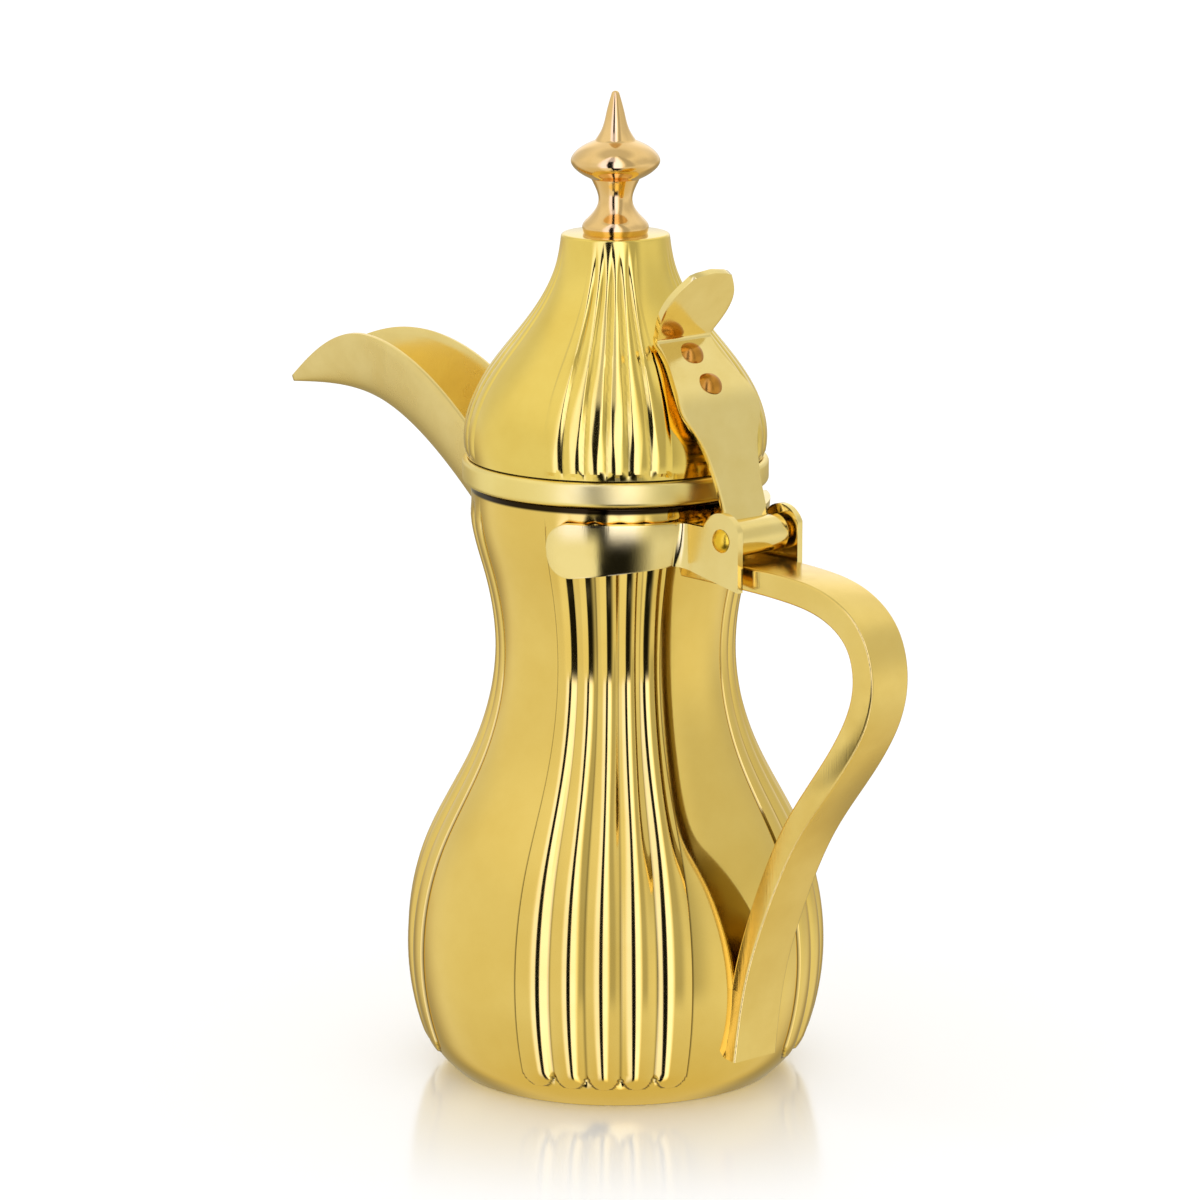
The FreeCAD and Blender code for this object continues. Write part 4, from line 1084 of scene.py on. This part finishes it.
class Wiring:
    """Adds nodes to a tree. An input takes a value or the output of another node."""

    def __init__(self, tree):
        self.nodes = tree.nodes
        self.links = tree.links

    def feed(self, node, inputs):
        """Sets or links some of a node's inputs, by name or number."""
        for key, value in inputs.items():
            if isinstance(value, NodeSocket):
                self.links.new(value, node.inputs[key])
            else:
                node.inputs[key].default_value = value

    def add(self, kind, inputs=None, **settings):
        """The outputs of a new node."""
        node = self.nodes.new(kind)
        for key, value in settings.items():
            setattr(node, key, value)
        self.feed(node, inputs or {})
        return node.outputs

    def value(self, operation, *values, **settings):
        """A value worked out from others."""
        return self.add("ShaderNodeMath", dict(enumerate(values)), operation=operation, **settings)["Value"]

    def distance(self, place):
        """Distance of a place from the origin."""
        return self.add("ShaderNodeVectorMath", {0: place}, operation="LENGTH")["Value"]

    def ranged(self, value, limits, results):
        """A smooth change from one result to another while a value goes from limit to limit."""
        inputs = {"Value": value}
        inputs.update(zip(("From Min", "From Max", "To Min", "To Max"), (*limits, *results)))
        return self.add("ShaderNodeMapRange", inputs, interpolation_type="SMOOTHSTEP")["Result"]

    def mixed_colour(self, share, first, second):
        """One colour that turns into another."""
        inputs = {"Factor": share, "A": first, "B": second}
        return self.add("ShaderNodeMix", inputs, data_type="RGBA")["Result"]

    def mixed_shader(self, share, first, second):
        """One shader that turns into another."""
        return self.add("ShaderNodeMixShader", {"Fac": share, 1: first, 2: second})["Shader"]

    def turn(self, direction, front, right):
        """Angle of a direction to the right of the camera."""
        parts = [
            self.add("ShaderNodeVectorMath", {0: direction, 1: axis}, operation="DOT_PRODUCT")["Value"]
            for axis in (right, front)]
        return self.value("ARCTAN2", *parts)

    def patch(self, values, spans):
        """A mask that is 1 where both values lie in their spans of start, end and softness of both."""
        masks = []
        for value, (start, end, first, last) in zip(values, spans):
            rising = self.ranged(value, (start - first, start + first), (0.0, 1.0))
            falling = self.ranged(value, (end - last, end + last), (1.0, 0.0))
            masks.append(self.value("MULTIPLY", rising, falling))
        return self.value("MULTIPLY", *masks)


def new_group(name, inputs, outputs):
    """A node group with sockets given by label and kind."""
    group = bpy.data.node_groups.new(name, "ShaderNodeTree")
    for way, sockets in (("INPUT", inputs), ("OUTPUT", outputs)):
        for label, kind in sockets.items():
            group.interface.new_socket(label, in_out=way, socket_type="NodeSocket" + kind)
    return group


def polish_marks():
    """Group for metal: faint smudges, fine scratches and a change of tone."""
    found = bpy.data.node_groups.get("Polish Marks")
    if found:
        return found
    group = new_group(
        "Polish Marks",
        {"Smooth": "Float", "Dull": "Float", "Scale": "Float", "Brushing": "Float"},
        {"Tone": "Float", "Roughness": "Float", "Height": "Float"})
    wiring = Wiring(group)
    given = wiring.add("NodeGroupInput")
    place = wiring.add("ShaderNodeTexCoord")["Object"]
    smudge = wiring.add("ShaderNodeTexNoise", {
        "Vector": place, "Scale": given["Scale"], "Detail": 4.0, "Roughness": 0.6})["Fac"]
    drawn_out = wiring.add("ShaderNodeMapping", {"Vector": place, "Scale": (1.0, 1.0, 0.06)})["Vector"]
    scratch = wiring.add("ShaderNodeTexNoise", {
        "Vector": drawn_out, "Scale": 2200.0, "Detail": 2.0})["Fac"]
    tone = wiring.add("ShaderNodeMapRange", {"Value": smudge, "From Min": 0.35, "From Max": 0.70})
    rough = wiring.add("ShaderNodeMapRange", {
        "Value": smudge, "From Min": 0.30, "From Max": 0.75,
        "To Min": given["Smooth"], "To Max": given["Dull"]})
    wiring.add("NodeGroupOutput", {
        "Tone": tone["Result"],
        "Roughness": rough["Result"],
        "Height": wiring.value("MULTIPLY", scratch, given["Brushing"])})
    return group


def metal(name, base, smooth, dull, scale, brushing, relief, shade_under_band=None):
    """A metal whose tone, gloss and fine scratches vary over the surface, darkened with painted shade where
    the vertex marks say so.

    The last argument gives the heights between which the metal darkens upwards, a painted shadow under the
    lid band.
    """
    found = bpy.data.materials.get(name)
    if found:
        return found
    material = bpy.data.materials.new(name)
    material.use_nodes = True
    wiring = Wiring(material.node_tree)
    marks = wiring.add(
        "ShaderNodeGroup", {"Smooth": smooth, "Dull": dull, "Scale": scale, "Brushing": brushing},
        node_tree=polish_marks())
    duller = [part * share for part, share in zip(base, DULL_SHARES)]
    tint = wiring.mixed_colour(marks["Tone"], (*base, 1.0), (*duller, 1.0))
    # Painted shade from the vertex marks and, on the body, the painted shadow under the lid band, mixed
    # towards near-black.
    dark = wiring.add("ShaderNodeAttribute", attribute_name="painted_shade")["Fac"]
    # Painted shadow under the lid band: darker upwards between the given heights.
    if shade_under_band:
        place = wiring.add("ShaderNodeTexCoord")["Object"]
        height = wiring.add("ShaderNodeSeparateXYZ", {"Vector": place})["Z"]
        dark = wiring.value("MAXIMUM", wiring.ranged(height, shade_under_band, (0.0, 1.0)), dark)
    bump = wiring.add("ShaderNodeBump", {
        "Height": marks["Height"], "Strength": relief, "Distance": 0.0001})
    wiring.feed(wiring.nodes["Principled BSDF"], {
        "Metallic": 1.0,
        "Base Color": wiring.mixed_colour(dark, tint, PAINTED_SHADE_COLOUR),
        "Roughness": marks["Roughness"],
        "Normal": bump["Normal"]})
    return material


def finish(name):
    """The named metal finish."""
    colours = bpy.context.scene.pot_finishes
    kinds = {
        # The last pair on the body's gold darkens the rim top as a painted shadow under the lid band.
        "mirror_gold": (colours.body_gold, 0.05, 0.11, 40.0, 0.2, 0.05, (0.1792, 0.1800)),
        "lid_mirror_gold": (colours.lid_gold, 0.06, 0.13, 55.0, 0.2, 0.06),
        "band_soft_gold": (colours.band_gold_painted_highlight, 0.28, 0.34, 55.0, 0.2, 0.06),
        "spout_satin_gold": (colours.beak_gold, 0.20, 0.32, 60.0, 1.0, 0.25),
        "handle_brushed_gold": (colours.satin_gold, 0.14, 0.28, 60.0, 1.0, 0.30),
        "bracket_polished_gold": (colours.strap_gold, 0.09, 0.18, 60.0, 0.6, 0.12),
        "strap_polished_gold": (colours.strap_gold, 0.08, 0.18, 70.0, 0.6, 0.12),
        "pin_yellow_brass": (colours.pin_brass, 0.24, 0.34, 200.0, 1.0, 0.20),
        "rivet_red_brass": (colours.rivet_copper, 0.20, 0.30, 180.0, 1.0, 0.15),
        "finial_turned_brass": (colours.finial_brass, 0.06, 0.14, 120.0, 0.4, 0.10),
        "fastening_steel": (colours.steel, 0.25, 0.45, 150.0, 1.0, 0.30),
    }
    return metal(name, *kinds[name])


def stage_material(name):
    """A new material without nodes and the wiring for them."""
    material = bpy.data.materials.new(name)
    material.use_nodes = True
    material.node_tree.nodes.clear()
    return material, Wiring(material.node_tree)


def floor_material():
    """White floor that keeps the shadow and a faint reflection close to the pot."""
    material, wiring = stage_material("white_floor")
    away = wiring.distance(wiring.add("ShaderNodeTexCoord")["Object"])
    matt = wiring.add("ShaderNodeBsdfDiffuse", {"Color": WHITE})["BSDF"]
    gloss = wiring.add("ShaderNodeBsdfGlossy", {"Color": WHITE, "Roughness": FLOOR_ROUGHNESS})["BSDF"]
    near = wiring.ranged(away, *FLOOR_GLOSS)
    wiring.add("ShaderNodeOutputMaterial", {"Surface": wiring.mixed_shader(near, matt, gloss)})
    return material


def neck_card_material(front, right):
    """A pale card with a black strip, seen from above, and clear round it."""
    material, wiring = stage_material("neck_card")
    place = wiring.add("ShaderNodeTexCoord")["Object"]
    values = (wiring.turn(place, front, right), wiring.distance(place))
    card, strip = (
        wiring.patch(values, (in_radians(turns), distances)) for turns, distances in (NECK_CARD, NECK_STRIP))
    underside = wiring.add("ShaderNodeNewGeometry")["Backfacing"]
    shown = wiring.value("SUBTRACT", card, underside, use_clamp=True)
    brightness = wiring.ranged(strip, (0.0, 1.0), (CARD_LIGHT, STRIP_LIGHT))
    glow = wiring.add("ShaderNodeEmission", {"Strength": brightness})["Emission"]
    clear = wiring.add("ShaderNodeBsdfTransparent")["BSDF"]
    wiring.add("ShaderNodeOutputMaterial", {"Surface": wiring.mixed_shader(shown, clear, glow)})
    return material


def room_tone(front, right):
    """Group for the surroundings: brightness and tint of the room in a direction, as metal sees it."""
    group = new_group("Room Tone", {"Direction": "Vector"}, {"Tone": "Float", "Tint": "Color"})
    wiring = Wiring(group)
    direction = wiring.add("NodeGroupInput")["Direction"]
    turn = wiring.turn(direction, front, right)
    rise = wiring.value("ARCSINE", wiring.add("ShaderNodeSeparateXYZ", {"Vector": direction})["Z"])

    def over(limits):
        return wiring.ranged(rise, in_radians(limits[0]), limits[1])

    def region(sideways, spans):
        return wiring.patch((sideways, rise), [in_radians(span) for span in spans])

    tone = wiring.value("SUBTRACT", over(ROOM_HIGH), over(ROOM_LOSS))
    for level, spans in ROOM_PATCHES:
        inputs = {"Factor": region(turn, spans), "A": tone, "B": level}
        tone = wiring.add("ShaderNodeMix", inputs)["Result"]
    behind = region(wiring.value("ABSOLUTE", turn), WARM_PATCH)
    white = wiring.value("SUBTRACT", over((WARM_RISE, (0.0, 1.0))), behind, use_clamp=True)
    warm = wiring.mixed_colour(white, WARM_LIGHT, WHITE)
    tint = wiring.mixed_colour(region(turn, COOL_PATCH), warm, COOL_LIGHT)
    wiring.add("NodeGroupOutput", {"Tone": tone, "Tint": tint})
    return group


def studio_world(tone):
    """White surroundings. Metal sees the room instead, with its lights and dark gaps."""
    world = bpy.data.worlds.new("studio")
    bpy.context.scene.world = world
    world.use_nodes = True
    world.node_tree.nodes.clear()
    wiring = Wiring(world.node_tree)
    path = wiring.add("ShaderNodeLightPath")
    direction = wiring.add("ShaderNodeTexCoord")["Generated"]
    room = wiring.add("ShaderNodeGroup", {"Direction": direction}, node_tree=tone)
    light, reflected, white = (
        wiring.add("ShaderNodeBackground", {"Color": shade, "Strength": strength})["Background"]
        for shade, strength in (
            (WHITE, FLOOR_LIGHT), (room["Tint"], room["Tone"]), (WHITE, BACKDROP_LIGHT)))
    in_metal = wiring.mixed_shader(path["Is Glossy Ray"], light, reflected)
    in_camera = wiring.mixed_shader(path["Is Camera Ray"], in_metal, white)
    wiring.add("ShaderNodeOutputWorld", {"Surface": in_camera})


def stage_sheet(name, width, height, material):
    """A level sheet with a material."""
    settle()
    bpy.ops.mesh.primitive_plane_add(size=width, location=(0.0, 0.0, height))
    sheet = bpy.context.object
    sheet.name = name
    sheet.data.materials.append(material)
    return sheet


class SCENE_OT_pot_stage(Operator):
    """Sets up the floor, the white studio with its card and the camera"""

    bl_idname = "scene.pot_stage"
    bl_label = "Stage"

    def execute(self, context):
        stage = context.scene.pot_stage
        under_pot = -0.0002
        level = math.cos(stage.elevation)
        back = Vector((
            math.sin(stage.azimuth) * level, -math.cos(stage.azimuth) * level, math.sin(stage.elevation)))
        right = UP.cross(back).normalized()
        front = Vector((back.x, back.y, 0.0)).normalized()
        floor = stage_sheet("floor", stage.floor_width, under_pot, floor_material())
        floor.visible_glossy = False
        studio_world(room_tone(front, right))
        card_material = neck_card_material(front, right)
        card = stage_sheet("neck_card", stage.card_width, stage.card_height, card_material)
        for ray in ("camera", "diffuse", "transmission", "shadow"):
            setattr(card, "visible_" + ray, False)
        bpy.ops.object.camera_add(location=Vector((0.0, 0.0, stage.aim)) + back * stage.distance)
        camera = bpy.context.object
        camera.name = "camera"
        camera.rotation_euler = back.to_track_quat("Z", "Y").to_euler()
        camera.data.sensor_width = 36.0
        camera.data.lens = stage.lens
        camera.data.shift_x = stage.shift_right
        camera.data.shift_y = stage.shift_up
        camera.data.dof.use_dof = False
        context.scene.camera = camera
        context.scene.view_settings.view_transform = "Standard"
        return {"FINISHED"}


OPERATORS = (
    MESH_OT_pot_body,
    MESH_OT_pot_spout,
    MESH_OT_pot_handle,
    MESH_OT_pot_brackets,
    MESH_OT_pot_pin,
    MESH_OT_pot_strap,
    MESH_OT_pot_rivets,
    MESH_OT_pot_lid_dome,
    MESH_OT_pot_lid_band,
    MESH_OT_pot_finial,
    MESH_OT_pot_fastening,
    SCENE_OT_pot_stage,
)

SETTINGS = {
    "pot_body": BodySizes,
    "pot_lid": LidSizes,
    "pot_spout": SpoutSizes,
    "pot_handle": HandleSizes,
    "pot_hinge": HingeSizes,
    "pot_finishes": Finishes,
    "pot_stage": StageSettings,
}


class VIEW3D_PT_pot(Panel):
    """Lists the steps that build the pot, in order"""

    bl_idname = "VIEW3D_PT_pot"
    bl_label = "Coffee Pot"
    bl_space_type = "VIEW_3D"
    bl_region_type = "UI"
    bl_category = "Coffee Pot"

    def draw(self, context):
        column = self.layout.column(align=True)
        for operator in OPERATORS:
            column.operator(operator.bl_idname)
        for setting in SETTINGS:
            group = getattr(context.scene, setting)
            box = self.layout.box()
            box.label(text=group.bl_rna.description)
            for key in group.__annotations__:
                box.prop(group, key)


CLASSES = (*SETTINGS.values(), *OPERATORS, VIEW3D_PT_pot)


def register():
    for kind in CLASSES:
        bpy.utils.register_class(kind)
    for name, kind in SETTINGS.items():
        setattr(bpy.types.Scene, name, PointerProperty(type=kind))


def unregister():
    for name in SETTINGS:
        delattr(bpy.types.Scene, name)
    for kind in reversed(CLASSES):
        bpy.utils.unregister_class(kind)


def main():
    register()
    bpy.ops.mesh.pot_body()
    bpy.ops.mesh.pot_spout()
    bpy.ops.mesh.pot_handle()
    bpy.ops.mesh.pot_brackets()
    bpy.ops.mesh.pot_pin()
    bpy.ops.mesh.pot_strap()
    bpy.ops.mesh.pot_rivets()
    bpy.ops.mesh.pot_lid_dome()
    bpy.ops.mesh.pot_lid_band()
    bpy.ops.mesh.pot_finial()
    bpy.ops.mesh.pot_fastening()
    bpy.ops.scene.pot_stage()


if __name__ == "__main__":
    main()
